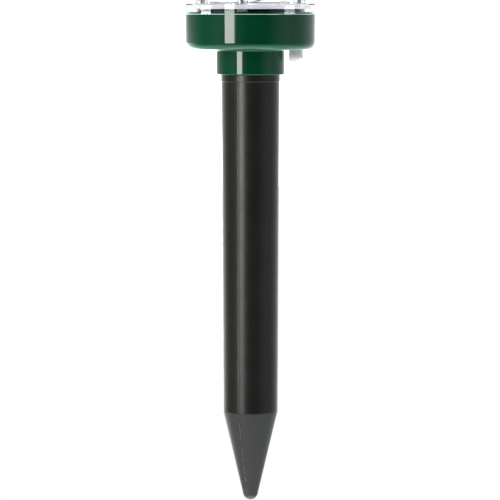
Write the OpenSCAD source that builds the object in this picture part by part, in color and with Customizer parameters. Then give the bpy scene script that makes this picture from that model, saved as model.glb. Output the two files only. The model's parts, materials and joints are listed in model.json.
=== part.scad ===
// Solar ground stake that drives burrowing pests away with pulses of sound.
// +Z is up. The origin lies on the stake's axis at the soil line, where the ring ends.
// The head, its cartridge and the speaker turn together on the stake's bayonet.

/* [Dish] */
// Diameter of the dish at its rim
dish_d = 100; // [96:1:120]
// Height of the dish, from its floor's underside at the collar to its rim
dish_h = 27.5; // [26:0.5:36]
// Side wall of the dish
dish_wall = 2.2; // [1.8:0.1:2.6]
// Floor of the dish
floor_t = 2.4; // [2:0.1:3]
// Round along the dish's lower edge
dish_round = 5.6; // [4:0.2:7]
// Draft of the dish's side, in degrees
dish_draft = 0.7; // [0.3:0.1:1.5]
// Rise of the dish's underside from the collar out to its edge
underside_rise = 0.6; // [0.2:0.1:1]
// Height that the inner lip stands above the rim
lip_h = 2.1; // [1.6:0.1:2.6]
// Thickness of the inner lip
lip_t = 2; // [1.6:0.1:2.4]
// Step from the stake's ring out to the collar's side
collar_step = 3.55; // [3:0.05:4.5]
// Height of the collar from the ring to the dish
collar_h = 18.7; // [17.5:0.1:24]
// Round along the collar's lower edge
collar_round = 0.8; // [0.4:0.1:1.2]

/* [Clear cover] */
// Height of the cover's upright wall above the rim
cover_wall_h = 8; // [7.5:0.1:12]
// Thickness of the cover
cover_t = 2; // [1.6:0.1:2.4]
// Overhang of the cover past the dish's rim
cover_over = 0.3; // [0.1:0.05:0.5]
// Width of the sloping band between the wall and the dome
cover_slope_w = 4.6; // [3:0.2:5]
// Height of the dome above the sloping band
dome_rise = 3.4; // [2.5:0.1:5]
// Width of the gasket under the cover's wall
gasket_w = 0.9; // [0.6:0.1:1.2]
// Depth of the gasket's groove
gasket_t = 0.8; // [0.6:0.1:1.2]

/* [Screws] */
// Distance of the cover's screws from the dish's rim
screw_inset = 12; // [11:0.5:14]
// Shank diameter of the cover and cartridge screws
screw_d = 3; // [2.5:0.1:3.2]
// Head diameter of those screws
screw_head_d = 5.8; // [5:0.1:6.2]
// Length of those screws under the head
screw_len = 14; // [12:1:16]
// Outer diameter of the clear bosses
boss_d = 10; // [9.5:0.5:11]
// Diameter of the counterbore over each screw head
counterbore_d = 7.7; // [6.6:0.1:8]
// Shank diameter of the small board screws
board_screw_d = 2.4; // [2:0.1:2.6]

/* [Solar panel] */
// Side of the square solar panel
panel_w = 54; // [40:1:54]
// Thickness of the panel's circuit board
panel_t = 1.6; // [1:0.2:2]
// Cells along each side of the panel
cell_rows = 4; // [2:1:6]
// Gap between neighbouring cells
cell_gap = 0.8; // [0.4:0.1:1.2]
// Thickness of the clear resin over the cells
resin_t = 1.2; // [0.8:0.1:1.6]
// Height of the bezel's skirt
bezel_h = 3.4; // [3:0.1:4.4]
// Thickness of the bezel
bezel_t = 1.5; // [1.2:0.1:2]
// Length of the foam pad behind the bezel
pad_l = 64; // [50:1:64]
// Width of the foam pad behind the bezel
pad_w = 52; // [40:1:56]
// Thickness of the foam pad
pad_t = 3.9; // [2:0.1:4.5]

/* [Stake] */
// Diameter of the tube just under its ring
tube_top_d = 44.6; // [44:0.2:54]
// Diameter of the tube at its lower end
tube_end_d = 42.4; // [42:0.2:44]
// Length of the tube below its ring
tube_len = 255; // [210:1:320]
// Wall of the tube
tube_wall = 2; // [1.6:0.1:2.4]
// Height of the ring at the tube's top
ring_h = 5.3; // [4:0.1:7]
// Step from the tube out to the ring
ring_step = 0.35; // [0.2:0.05:0.6]
// Length of the spike below the tube
spike_len = 69.8; // [55:0.2:90]
// Radius of the spike's point
spike_tip_r = 5.8; // [4:0.2:8]
// Step from the tube in to the spike
spike_step = 0.1; // [0.05:0.05:0.4]
// Depth of the spike's spigot inside the tube
spigot_h = 12; // [8:1:18]

/* [Bayonet] */
// Step from the ring in to the neck
neck_step = 1.85; // [1.6:0.05:2.2]
// Height of the neck above the ring
neck_h = 15.2; // [14:0.1:16.5]
// Height of each lug above the neck's side
lug_t = 1.6; // [1.2:0.1:1.8]
// Thickness of each lug along the axis
lug_h = 3; // [2:0.1:3.5]
// Angle that each lug spans
lug_span = 18; // [12:1:24]
// Angle that the head turns to unlock
unlock_turn = 38; // [30:1:45]
// Section diameter of the sealing ring
seal_d = 1.4; // [1:0.1:1.6]

/* [Switch] */
// Outer diameter of the rubber boot
boot_d = 11.5; // [10.5:0.1:13.8]
// Wall of the boot
boot_wall = 0.9; // [0.7:0.1:1.1]
// Height of the boot below the dish floor
boot_h = 8.3; // [8:0.1:10]
// Slope of the outer half of the boot's end, in degrees
boot_slope = 18; // [10:1:20]
// Gap between the boot and the collar
boot_gap = 3.45; // [2:0.05:4]
// Side of the square button
button_w = 6; // [5:0.1:6.2]
// Travel of the button
button_travel = 1.8; // [1:0.1:2]

/* [Battery] */
// Diameter of a cell
cell_d = 14.5; // [13.5:0.1:17.4]
// Length of a cell with its nub
cell_len = 50.5; // [44:0.1:51]
// Number of cells in the column
cell_count = 3; // [2:1:3]
// Wall of the cell holder
holder_wall = 1.8; // [1.4:0.1:2.2]

/* [Speaker] */
// Diameter of the speaker
speaker_d = 36; // [34:0.5:36.4]
// Depth of the speaker's housing
speaker_depth = 13.5; // [13:0.5:18]
// Travel of the diaphragm each way
cone_travel = 0.3; // [0.2:0.05:0.5]

/* [Circuit board] */
// Length of the main board
board_l = 56; // [54:1:56]
// Width of the main board
board_w = 36; // [34:1:40]
// Height of the board's posts
post_h = 6.6; // [6.4:0.1:8]
// Thickness of the boards
board_t = 1.6; // [1.2:0.2:1.6]

/* [Clearances] */
// Gap between the collar and the ring that it turns on
seat_gap = 0.1; // [0.1:0.05:0.3]
// Radial clearance between the neck and the collar
neck_gap = 0.3; // [0.2:0.05:0.5]
// Clearance around the bayonet lugs
lug_gap = 0.4; // [0.3:0.05:0.6]
// Clearance between the sealing ring and the collar
seal_gap = 0.1; // [0.05:0.05:0.2]
// Clearance between the cartridge and the tube
cartridge_gap = 0.6; // [0.4:0.1:1]
// Clearance of parts that drop into a seat
fit_gap = 0.3; // [0.1:0.05:0.4]

/* [Hidden] */
$fn = 96;
dome_fn = 360;
lead_r = 0.6;
lead_sides = 8;
lead_gap = 0.9;
pin_gap = 1.25;
spring_sides = 6;
spring_steps = 16;

// radii of the stake and the collar around it
tube_top_r = tube_top_d / 2;
tube_end_r = tube_end_d / 2;
ring_r = tube_top_r + ring_step;
neck_r = ring_r - neck_step;
neck_bore_r = neck_r - tube_wall;
collar_bore_r = neck_r + neck_gap;
collar_r = ring_r + collar_step;
lug_r = neck_r + lug_t;

// heights along the axis
floor_z = ring_h + collar_h;
rim_z = floor_z + dish_h;
inside_z = floor_z + floor_t;
lip_z = rim_z + lip_h;
shoulder_z = rim_z + cover_wall_h;
bezel_top_z = shoulder_z - 0.6;
panel_seat_z = bezel_top_z - 0.7;
cells_z = panel_seat_z + panel_t;
neck_top_z = ring_h + neck_h;
lug_z = ring_h + 5.2;
seal_z = neck_top_z - 3;
ring_foot_h = 0.3;

// dish
dish_r = dish_d / 2;
dish_bore_r = dish_r - dish_wall;
edge_r = dish_r - (dish_h - underside_rise) * tan(dish_draft);
under_slope = atan(underside_rise / (edge_r - collar_r));
lip_r = dish_r + cover_over - cover_t - fit_gap;
screw_ring_r = dish_r - screw_inset;
screw_boss_r = 4.5;
screw_boss_h = 12;
screw_web_t = 3;
gasket_step = 0.5;

// cover
cover_r = dish_r + cover_over;
cover_bore_r = cover_r - cover_t;
dome_edge_r = cover_r - cover_slope_w;
dome_z = shoulder_z + cover_slope_w + dome_rise;
dome_r = (dome_edge_r * dome_edge_r + dome_rise * dome_rise) / (2 * dome_rise);
screw_seat_z = bezel_top_z + 2.8;
screw_head_h = 2.4;

// solar panel
solar_leads_x = -20;
leads_slot = [6, 4];
cell_t = 0.3;
solar_pitch = (panel_w - 2) / cell_rows;

// switch, which stands off the collar under the dish's +X side, clear of the round along its edge
boot_r = boot_d / 2;
boot_flange_r = boot_r + 1.3;
switch_x = min(collar_r + boot_gap + boot_r, edge_r - dish_round - boot_flange_r);
switch_floor_z = floor_z + (switch_x - collar_r) * tan(under_slope);
boot_end_z = switch_floor_z - boot_h;
boot_flange_t = 0.8;
retainer_t = 1.2;
switch_w = 8;
stem_in = 3;
spring_room = 1.2;
switch_top_t = 1;
switch_h = stem_in + button_travel + spring_room + switch_top_t;
switch_z = inside_z + boot_flange_t + retainer_t + 0.6;
switch_board_z = switch_z + switch_h;
switch_post_y = max(9.5, boot_flange_r + 2.6);
switch_post_r = 2.6;
stem_w = 3;
button_end_z = boot_end_z + 4.3;
button_h = 5.8;
stem_top_z = switch_z + stem_in;
spring_top_z = stem_top_z + button_travel + spring_room;

// main board
board_z = inside_z + post_h;
board_top_z = board_z + board_t;
board_post = [24, 14];
board_post_r = 3;
plug_z = board_z - 4.2;
plug_mid_z = board_z - 2.1;
lead_x = 12;
lead_hole_r = 2;
battery_plug = [-6, -10];
speaker_plug_x = 5;
switch_plug_x = 19;
plug_face = 2.9;

// cartridge with the cells and the speaker, which hangs from the dish floor
flange_r = neck_bore_r - cartridge_gap;
flange_t = 2.4;
cartridge_screw_y = 13;
holder_r = cell_d / 2 + fit_gap + holder_wall;
holder_bore_r = cell_d / 2 + fit_gap;
stack_top_z = floor_z - 16;
contact_t = 0.5;
contact_r = 6.5;
cell_spacing = 0.1;
stack_end_z = stack_top_z - cell_count * (cell_len + cell_spacing);
spring_h = 5.2;
contact_end_z = stack_end_z - spring_h;
base_z = contact_end_z - contact_t;
base_t = 2;
skirt_z = base_z - base_t - speaker_depth;

// speaker, which faces down
speaker_r = speaker_d / 2;
yoke_r = 10;
yoke_h = 6;
yoke_wall = 1.4;
yoke_back_t = 1.6;
pole_t = 1.4;
yoke_z = skirt_z + 6;
yoke_roof_z = yoke_z + yoke_h - yoke_back_t;
magnet_r = 6.8;
pole_r = 7;
coil_r = 7.4;
coil_t = 0.8;
cone_r = 13.2;
cone_t = 0.5;
cone_rim_z = skirt_z + 0.4;
cone_neck_z = yoke_z - 2.5 - cone_travel;
coil_end_z = yoke_roof_z - 1.6 - cone_travel;
cap_depth = 1.6;
frame_t = 1;

// radii of the tapering tube at a height, outside and inside
function tube_r(z) = tube_top_r + (tube_top_r - tube_end_r) * z / tube_len;
function tube_bore_r(z) = tube_r(z) - tube_wall;

// ---- shared shapes ----

function unit(v) = v / norm(v);

// Ends and centre of the arc that rounds corner p, between its neighbours a and b
function corner_arc(p, a, b, r) =
    let (u = unit(a - p), v = unit(b - p), half = acos(u * v) / 2)
    [p + r / tan(half) * u, p + r / sin(half) * unit(u + v), p + r / tan(half) * v];

// An outline whose outer corners are rounded by the radii given, where 0 leaves a corner sharp
module rounded(points, radii) {
    n = len(points);
    arcs = [for (i = [0:n - 1])
        radii[i] > 0 ? corner_arc(points[i], points[(i + n - 1) % n], points[(i + 1) % n], radii[i])
        : [points[i]]];
    polygon([for (arc = arcs) each arc]);
    // each sector starts a little behind its arc's centre, so that it overlaps the polygon
    for (i = [0:n - 1]) if (radii[i] > 0) {
        c = arcs[i][1] - 0.3 * (points[i] - arcs[i][1]);
        intersection() {
            translate(arcs[i][1]) circle(r = radii[i]);
            polygon([c, c + 1.6 * (arcs[i][0] - c), c + 1.6 * (points[i] - c), c + 1.6 * (arcs[i][2] - c)]);
        }
    }
}

// A turned ring from radius r1 to r2, between heights z1 and z2
module band(r1, r2, z1, z2) {
    rotate_extrude()
        translate([r1, z1]) square([r2 - r1, z2 - z1]);
}

// A sector of a ring, from angle a1 to angle a2
module sector(r1, r2, z1, z2, a1, a2) {
    rotate([0, 0, a1])
        rotate_extrude(angle = a2 - a1)
            translate([r1, z1]) square([r2 - r1, z2 - z1]);
}

// A round bar between heights z1 and z2
module bar(r, z1, z2) {
    translate([0, 0, z1]) cylinder(r = r, h = z2 - z1);
}

// A block centred on the axis, between heights z1 and z2
module block(size, z1, z2) {
    translate([-size[0] / 2, -size[1] / 2, z1]) cube([size[0], size[1], z2 - z1]);
}

// Repeats its children at the four screws of the cover
module at_cover_screws() {
    for (a = [0:90:270]) rotate([0, 0, a]) translate([screw_ring_r, 0, 0]) children();
}

// Repeats its children at the four posts of the main board
module at_board_posts() {
    for (sx = [-1, 1], sy = [-1, 1]) translate([sx * board_post[0], sy * board_post[1], 0]) children();
}

// Repeats its children at the two screws of the cartridge
module at_cartridge_screws() {
    for (s = [-1, 1]) translate([0, s * cartridge_screw_y, 0]) children();
}

// Repeats its children at the two posts of the switch's board
module at_switch_posts() {
    for (s = [-1, 1]) translate([switch_x, s * switch_post_y, 0]) children();
}

// A pan-head screw that hangs from z = 0, with a cross recess
module pan_screw(d, head_d, head_h, length) {
    difference() {
        union() {
            translate([0, 0, -length]) cylinder(d = d, h = length + 0.2);
            intersection() {
                cylinder(d = head_d, h = head_h);
                translate([0, 0, head_h - head_d]) sphere(r = head_d);
            }
        }
        for (a = [0, 90]) rotate([0, 0, a])
            translate([-head_d * 0.3, -head_d * 0.07, head_h * 0.45])
                cube([head_d * 0.6, head_d * 0.14, head_h]);
    }
}

// Sweeps a round wire along a list of points
module wire(points, r, ref = [0, 1, 0], count = lead_sides) {
    n = len(points);
    tangents = [for (i = [0:n - 1]) unit(points[min(i + 1, n - 1)] - points[max(i - 1, 0)])];
    rings = [for (i = [0:n - 1])
        let (u = unit(cross(tangents[i], ref)), v = cross(tangents[i], u))
        for (j = [0:count - 1])
            let (a = 360 * j / count) points[i] + r * (cos(a) * u + sin(a) * v)];
    sides = [for (i = [0:n - 2], j = [0:count - 1])
        let (k = (j + 1) % count)
        [i * count + j, (i + 1) * count + j, (i + 1) * count + k, i * count + k]];
    first_cap = [for (j = [0:count - 1]) j];
    last_cap = [for (j = [count - 1:-1:0]) (n - 1) * count + j];
    polyhedron(points = rings, faces = concat([first_cap, last_cap], sides), convexity = 8);
}

// A coil spring on the axis, from radius r1 at height z1 to r2 at z2
module spring(r1, r2, z1, z2, turns, wire_r) {
    steps = spring_steps * turns;
    wire([for (i = [0:steps])
        let (t = i / steps, a = 360 * turns * t, r = r1 + (r2 - r1) * t)
        [r * cos(a), r * sin(a), z1 + wire_r + (z2 - z1 - 2 * wire_r) * t]],
        wire_r, [0, 0, 1], spring_sides);
}

// ---- stake ----

module stake_tube() {
    color([0.09, 0.09, 0.09])
    difference() {
        union() {
            rotate_extrude() rounded([[0, -tube_len], [tube_end_r, -tube_len], [tube_top_r, 0],
                [ring_r, ring_foot_h], [ring_r, ring_h], [neck_r, ring_h],
                [neck_r, neck_top_z], [0, neck_top_z]],
                [0, 0, 0, 0, 0, 0, 0.6, 0]);
            for (k = [0:2]) rotate([0, 0, 120 * k])
                sector(neck_r - 0.5, lug_r, lug_z, lug_z + lug_h, -lug_span / 2, lug_span / 2);
        }
        // tapering bore below the ring, plain bore through the neck, socket for the spike
        rotate_extrude() polygon([[0, -tube_len - 1], [tube_bore_r(-tube_len), -tube_len - 1],
            [tube_bore_r(-tube_len), -tube_len + spigot_h], [tube_bore_r(0), 0],
            [neck_bore_r, ring_h], [neck_bore_r, neck_top_z + 1], [0, neck_top_z + 1]]);
        // groove for the sealing ring
        band(collar_bore_r - seal_gap - seal_d, collar_bore_r + 1, seal_z - seal_d / 2 - 0.1,
            seal_z + seal_d / 2 + 0.1);
    }
}

module spike_tip() {
    base_r = tube_end_r - spike_step;
    ball_z = -tube_len - spike_len + spike_tip_r;
    reach = norm([base_r, tube_len + ball_z]);
    lean = atan(base_r / (-tube_len - ball_z)) - asin(spike_tip_r / reach);
    touch_z = ball_z - spike_tip_r * sin(lean);
    apex_z = -tube_len - base_r / tan(lean);
    spigot_r = tube_bore_r(-tube_len);
    spike_wall = 5;
    spigot_wall = 2.4;
    spigot_bore_r = spigot_r - spigot_wall;
    core_r = 3;
    hollow_z = -tube_len - spike_len * 0.62;
    color([0.2, 0.2, 0.19])
    rotate_extrude() difference() {
        polygon([[0, -tube_len + spigot_h], [spigot_r, -tube_len + spigot_h], [spigot_r, -tube_len],
            [base_r, -tube_len], [0, apex_z]]);
        // round point, tangent to the cone
        difference() {
            translate([-1, apex_z - 1]) square([base_r, touch_z - apex_z + 1]);
            translate([0, ball_z]) circle(r = spike_tip_r);
        }
        // hollow that keeps the moulding's walls even
        polygon([[-1, hollow_z], [core_r, hollow_z], [base_r - spike_wall, -tube_len],
            [spigot_bore_r, -tube_len + 2],
            [spigot_bore_r, -tube_len + spigot_h + 1], [-1, -tube_len + spigot_h + 1]]);
    }
}

module neck_seal() {
    color([0.05, 0.05, 0.05])
    rotate_extrude() translate([collar_bore_r - seal_gap - seal_d / 2, seal_z]) circle(d = seal_d);
}

// ---- head shell ----

module dish_outline() {
    difference() {
        union() {
            rounded([[0, floor_z], [collar_r, floor_z], [edge_r, floor_z + underside_rise],
                [dish_r, rim_z], [0, rim_z]], [0, 0, dish_round, 0, 0]);
            rounded([[0, ring_h + seat_gap], [collar_r, ring_h + seat_gap], [collar_r, floor_z + 0.1],
                [0, floor_z + 0.1]], [0, collar_round, 0, 0]);
            translate([0, rim_z - 1]) square([lip_r, lip_h + 1]);
        }
        // hollow of the dish, which leaves the lip and its sloping root
        difference() {
            rounded([[0, inside_z], [edge_r - dish_wall, inside_z], [dish_bore_r, rim_z],
                [dish_bore_r, lip_z + 1], [0, lip_z + 1]], [0, dish_round - dish_wall, 0, 0, 0]);
            polygon([[lip_r - lip_t, lip_z + 2], [lip_r - lip_t, rim_z - 4], [dish_bore_r + 1, rim_z - 7],
                [dish_bore_r + 1, lip_z + 2]]);
        }
        translate([0, ring_h - 1]) square([collar_bore_r, collar_h + 1]);
        translate([lip_r + gasket_step, rim_z - gasket_t]) square([gasket_w, gasket_t + 1]);
    }
}

// Slots of the bayonet: each lug enters from below and turns into a level track
module bayonet_slots() {
    slack = 0.6;
    for (k = [0:2]) rotate([0, 0, 120 * k]) {
        sector(collar_bore_r - 0.5, lug_r + lug_gap, lug_z - lug_gap, lug_z + lug_h + lug_gap,
            -unlock_turn - lug_span / 2 - 2, lug_span / 2 + slack);
        sector(collar_bore_r - 0.5, lug_r + lug_gap, ring_h - 1, lug_z + lug_h + lug_gap,
            -unlock_turn - lug_span / 2 - 2, -unlock_turn + lug_span / 2 + 2);
    }
}

module head_dish() {
    color([0.02, 0.2, 0.12])
    difference() {
        union() {
            rotate_extrude() dish_outline();
            at_cover_screws() {
                bar(screw_boss_r, lip_z - screw_boss_h, lip_z);
                translate([0, -screw_web_t / 2, lip_z - screw_boss_h])
                    cube([screw_inset - dish_wall, screw_web_t, screw_boss_h - lip_h - 0.5]);
            }
            at_board_posts() bar(board_post_r, inside_z - 1, board_z);
            at_switch_posts() bar(switch_post_r, inside_z - 1, switch_board_z);
        }
        at_cover_screws() bar(screw_d / 2, lip_z - screw_boss_h + 2, lip_z + 1);
        at_board_posts() bar(board_screw_d / 2, board_z - 5, board_z + 1);
        at_switch_posts() bar(board_screw_d / 2, switch_board_z - 4, switch_board_z + 1);
        at_cartridge_screws() bar(screw_d / 2 + fit_gap / 2, floor_z - 1, inside_z + 1);
        for (x = [-lead_x, 0, lead_x]) translate([x, 0, 0]) bar(lead_hole_r, floor_z - 1, inside_z + 1);
        translate([switch_x, 0, 0]) bar(boot_r + fit_gap / 3, floor_z - 1, inside_z + 1);
        bayonet_slots();
    }
}

// Outline of the cover's outside, or of its inside when drawn with an inset
module cover_outline(inset) {
    side = cover_r - inset;
    turn_z = shoulder_z - inset * tan(22.5);
    intersection() {
        polygon([[0, rim_z], [side, rim_z], [side, turn_z], [side - 20, turn_z + 20], [0, turn_z + 20]]);
        translate([0, dome_z - dome_r]) circle(r = dome_r - inset, $fn = dome_fn);
    }
}

module clear_cover() {
    color([0.85, 0.9, 0.92, 0.35])
    difference() {
        union() {
            rotate_extrude() difference() {
                cover_outline(0);
                translate([0, -1]) square([cover_bore_r, rim_z + 1.001]);
                cover_outline(cover_t);
            }
            intersection() {
                at_cover_screws() bar(boss_d / 2, bezel_top_z, dome_z + 1);
                rotate_extrude() cover_outline(cover_t / 2);
            }
        }
        at_cover_screws() {
            bar(counterbore_d / 2, screw_seat_z, dome_z + 2);
            bar(screw_d / 2 + fit_gap / 2, bezel_top_z - 1, screw_seat_z + 1);
        }
    }
}

module cover_gasket() {
    color([0.06, 0.06, 0.06])
    band(lip_r + gasket_step, lip_r + gasket_step + gasket_w, rim_z - gasket_t, rim_z);
}

module cover_screws() {
    color([0.7, 0.7, 0.72])
    at_cover_screws() translate([0, 0, screw_seat_z])
        pan_screw(screw_d, screw_head_d, screw_head_h, screw_len);
}

// ---- solar panel ----

module bezel_plate() {
    plate_r = cover_bore_r - 1.3;
    color([0.8, 0.8, 0.82])
    difference() {
        union() {
            bar(plate_r, bezel_top_z - bezel_t, bezel_top_z);
            band(plate_r - bezel_t, plate_r, bezel_top_z - bezel_h, bezel_top_z);
            at_cover_screws() bar(screw_boss_r - 0.5, lip_z, bezel_top_z - 0.5);
        }
        block([panel_w + fit_gap, panel_w + fit_gap], panel_seat_z, bezel_top_z + 1);
        at_cover_screws() bar(screw_d / 2 + fit_gap / 2, lip_z - 1, bezel_top_z + 1);
        translate([solar_leads_x, 0, 0]) block(leads_slot, bezel_top_z - bezel_t - 1, bezel_top_z + 1);
    }
}

// Foam that deadens the bezel against the dish, with a slot for the panel's leads
module bezel_pad() {
    pad_top_z = bezel_top_z - bezel_t;
    color([0.05, 0.05, 0.05])
    difference() {
        block([pad_l, pad_w], pad_top_z - pad_t, pad_top_z);
        translate([solar_leads_x, 0, 0]) block(leads_slot, pad_top_z - pad_t - 1, pad_top_z + 1);
    }
}

module solar_substrate() {
    color([0.05, 0.12, 0.1])
    block([panel_w, panel_w], panel_seat_z, cells_z);
}

module solar_cells() {
    color([0.05, 0.07, 0.2])
    for (i = [0:cell_rows - 1], j = [0:1])
        translate([(i - (cell_rows - 1) / 2) * solar_pitch, (j - 0.5) * (panel_w - 2) / 2, 0])
            block([solar_pitch - cell_gap, (panel_w - 2) / 2 - cell_gap], cells_z, cells_z + cell_t);
}

module solar_resin() {
    color([0.7, 0.75, 0.85, 0.4])
    difference() {
        block([panel_w - 0.4, panel_w - 0.4], cells_z, cells_z + resin_t);
        solar_cells();
    }
}

module solar_leads() {
    color([0.6, 0.05, 0.05])
    for (s = [-1, 1])
        wire([[solar_leads_x + 1.2 * s, 0, panel_seat_z], [solar_leads_x + 1.2 * s, 0, 52],
            [solar_leads_x + 1.2 * s, -2, 48], [solar_leads_x + 1.2 * s, -2, 45],
            [solar_leads_x + 1.2 * s, 0, 42.5], [solar_leads_x + 1.2 * s, 0, board_top_z + 6]],
            lead_r, [1, 0, 0]);
}

// ---- main board ----

module main_board() {
    color([0.1, 0.35, 0.15])
    difference() {
        block([board_l, board_w], board_z, board_top_z);
        at_board_posts() bar(board_screw_d / 2 + fit_gap / 2, board_z - 1, board_top_z + 1);
    }
}

module board_screws() {
    color([0.7, 0.7, 0.72])
    at_board_posts() translate([0, 0, board_top_z]) pan_screw(board_screw_d, 4.6, 1.5, 6);
}

module timer_chip() {
    color([0.06, 0.06, 0.06])
    translate([2, 8, 0]) {
        block([9.8, 6.4], board_top_z + 0.5, board_top_z + 3.8);
        for (x = [-3.81:2.54:3.81], s = [-1, 1])
            translate([x, s * 3.5, 0]) block([0.5, 0.9], board_top_z, board_top_z + 2);
    }
}

module driver_transistor() {
    color([0.06, 0.06, 0.06])
    translate([14, 10, board_top_z]) difference() {
        translate([0, 0, 1.5]) cylinder(d = 5, h = 4.8);
        translate([-3, 1.4, 0]) cube([6, 3, 8]);
    }
}

module inductor_core() {
    color([0.15, 0.14, 0.14])
    translate([-8, 8, 0]) rotate_extrude()
        polygon([[0, board_top_z], [4, board_top_z], [4, board_top_z + 1.5], [2, board_top_z + 1.5],
            [2, board_top_z + 7.5], [4, board_top_z + 7.5], [4, board_top_z + 9], [0, board_top_z + 9]]);
}

module inductor_winding() {
    color([0.7, 0.35, 0.15])
    translate([-8, 8, 0]) band(2, 3.7, board_top_z + 1.5, board_top_z + 7.5);
}

module board_capacitors() {
    color([0.1, 0.12, 0.3])
    for (c = [[-6, -9, 4, 12], [6, -10, 3.15, 11]])
        translate([c[0], c[1], 0]) difference() {
            bar(c[2], board_top_z, board_top_z + c[3]);
            band(c[2] - 0.3, c[2] + 1, board_top_z + 1.2, board_top_z + 1.8);
        }
}

module board_resistors() {
    color([0.75, 0.62, 0.42])
    for (k = [0:3]) translate([15 + 3 * (k % 2), -12 + 5 * floor(k / 2), board_top_z + 1.2])
        rotate([90, 0, 0]) {
            cylinder(d = 2.3, h = 2.6, center = true);
            cylinder(d = 0.6, h = 4.4, center = true);
        }
}

module lead_connectors() {
    color([0.9, 0.88, 0.82]) {
        translate([solar_leads_x, 0, 0]) block([7.5, 5.8], board_top_z, board_top_z + 6);
        translate([battery_plug[0], battery_plug[1], 0]) block([7.5, 5.8], plug_z, board_z);
        translate([speaker_plug_x, 0, 0]) block([5.8, 7.5], plug_z, board_z);
        translate([switch_plug_x, 0, 0]) block([5.8, 7.5], plug_z, board_z);
    }
}

// ---- switch ----

module switch_body() {
    color([0.15, 0.15, 0.16])
    translate([switch_x, 0, 0]) difference() {
        block([switch_w, switch_w], switch_z, switch_board_z);
        block([stem_w + 0.4, stem_w + 0.4], switch_z - 1, spring_top_z);
    }
}

module switch_board() {
    color([0.1, 0.35, 0.15])
    difference() {
        translate([switch_x, 0, 0])
            block([12, 2 * switch_post_y + 5], switch_board_z, switch_board_z + board_t);
        at_switch_posts()
            bar(board_screw_d / 2 + fit_gap / 2, switch_board_z - 1, switch_board_z + board_t + 1);
    }
}

module switch_board_screws() {
    color([0.7, 0.7, 0.72])
    at_switch_posts() translate([0, 0, switch_board_z + board_t]) pan_screw(board_screw_d, 4.6, 1.5, 5);
}

module switch_spring() {
    color([0.75, 0.75, 0.77])
    translate([switch_x, 0, 0]) spring(1.1, 1.1, stem_top_z, spring_top_z, 4, 0.15);
}

module switch_leads() {
    color([0.1, 0.1, 0.1])
    for (s = [-1, 1])
        wire([[switch_x - 5, pin_gap * s, switch_board_z], [switch_x - 5, pin_gap * s, plug_mid_z + 2.4],
            [switch_x - 5.7, pin_gap * s, plug_mid_z + 0.7], [switch_x - 7.4, pin_gap * s, plug_mid_z],
            [switch_plug_x + plug_face, pin_gap * s, plug_mid_z]], lead_r);
}

module switch_boot() {
    bore_r = boot_r - boot_wall;
    cup_z = boot_end_z + 2.4;
    color([0.6, 0.62, 0.62, 0.6])
    translate([switch_x, 0, 0]) difference() {
        union() {
            bar(boot_r, boot_end_z, inside_z + boot_flange_t);
            bar(boot_flange_r, inside_z, inside_z + boot_flange_t);
        }
        difference() {
            bar(bore_r, cup_z, inside_z + 2);
            bar(2, cup_z - 1, button_end_z - 0.2);
        }
        // the outer half of the end slopes up towards the dish's edge
        translate([0, -boot_d, boot_end_z]) rotate([0, -boot_slope, 0])
            translate([0, 0, -boot_d]) cube([2 * boot_d, 2 * boot_d, boot_d]);
    }
}

module boot_retainer() {
    color([0.2, 0.2, 0.2])
    difference() {
        union() {
            translate([switch_x, 0, 0]) {
                bar(boot_flange_r, inside_z + boot_flange_t, inside_z + boot_flange_t + retainer_t);
                block([5, 2 * switch_post_y], inside_z + boot_flange_t,
                    inside_z + boot_flange_t + retainer_t);
            }
            at_switch_posts() bar(4, inside_z + boot_flange_t, inside_z + boot_flange_t + retainer_t);
        }
        at_switch_posts() bar(switch_post_r, inside_z, inside_z + 4);
        translate([switch_x, 0, 0]) bar(boot_r - boot_wall, inside_z, inside_z + 4);
    }
}

module switch_plunger() {
    color([0.85, 0.85, 0.83])
    translate([switch_x, 0, 0]) block([stem_w, stem_w], button_end_z + 1.8, stem_top_z);
}

module button_cap() {
    color([0.5, 0.51, 0.5])
    translate([switch_x, 0, 0]) difference() {
        block([button_w, button_w], button_end_z, button_end_z + button_h);
        block([stem_w, stem_w], button_end_z + 1.8, button_end_z + button_h + 1);
    }
}

// ---- cartridge in the tube ----

module cartridge_frame() {
    color([0.13, 0.13, 0.14])
    difference() {
        union() {
            bar(flange_r, floor_z - flange_t, floor_z);
            bar(holder_r, base_z, floor_z - flange_t);
            at_cartridge_screws() bar(3, floor_z - 11, floor_z - flange_t);
            bar(speaker_r, base_z - base_t, base_z);
            band(speaker_r - 1.6, speaker_r, skirt_z, base_z);
        }
        // room for the cells, and the mouth that they snap in through
        bar(holder_bore_r, contact_end_z - contact_t, stack_top_z + contact_t);
        bar(holder_bore_r, stack_top_z + contact_t + 2, floor_z - flange_t);
        translate([-holder_bore_r + 0.9, -holder_r - 1, stack_end_z])
            cube([2 * holder_bore_r - 1.8, holder_r, stack_top_z - stack_end_z]);
        // ways for the leads and the lower contact's tab
        bar(lead_hole_r, stack_top_z - 1, floor_z + 1);
        for (s = [-1, 1]) translate([s * lead_x, 0, 0]) bar(lead_hole_r, floor_z - flange_t - 1, floor_z + 1);
        translate([lead_x, 0, 0]) bar(lead_hole_r, base_z - base_t - 1, base_z + 1);
        translate([-holder_r - 1, -1.7, base_z]) cube([holder_r, 3.4, 1.4]);
        at_cartridge_screws() bar(screw_d / 2, floor_z - 12.5, floor_z + 1);
    }
}

module cartridge_screws() {
    color([0.7, 0.7, 0.72])
    at_cartridge_screws() translate([0, 0, inside_z]) pan_screw(screw_d, screw_head_d, 2, screw_len - 2);
}

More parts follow.
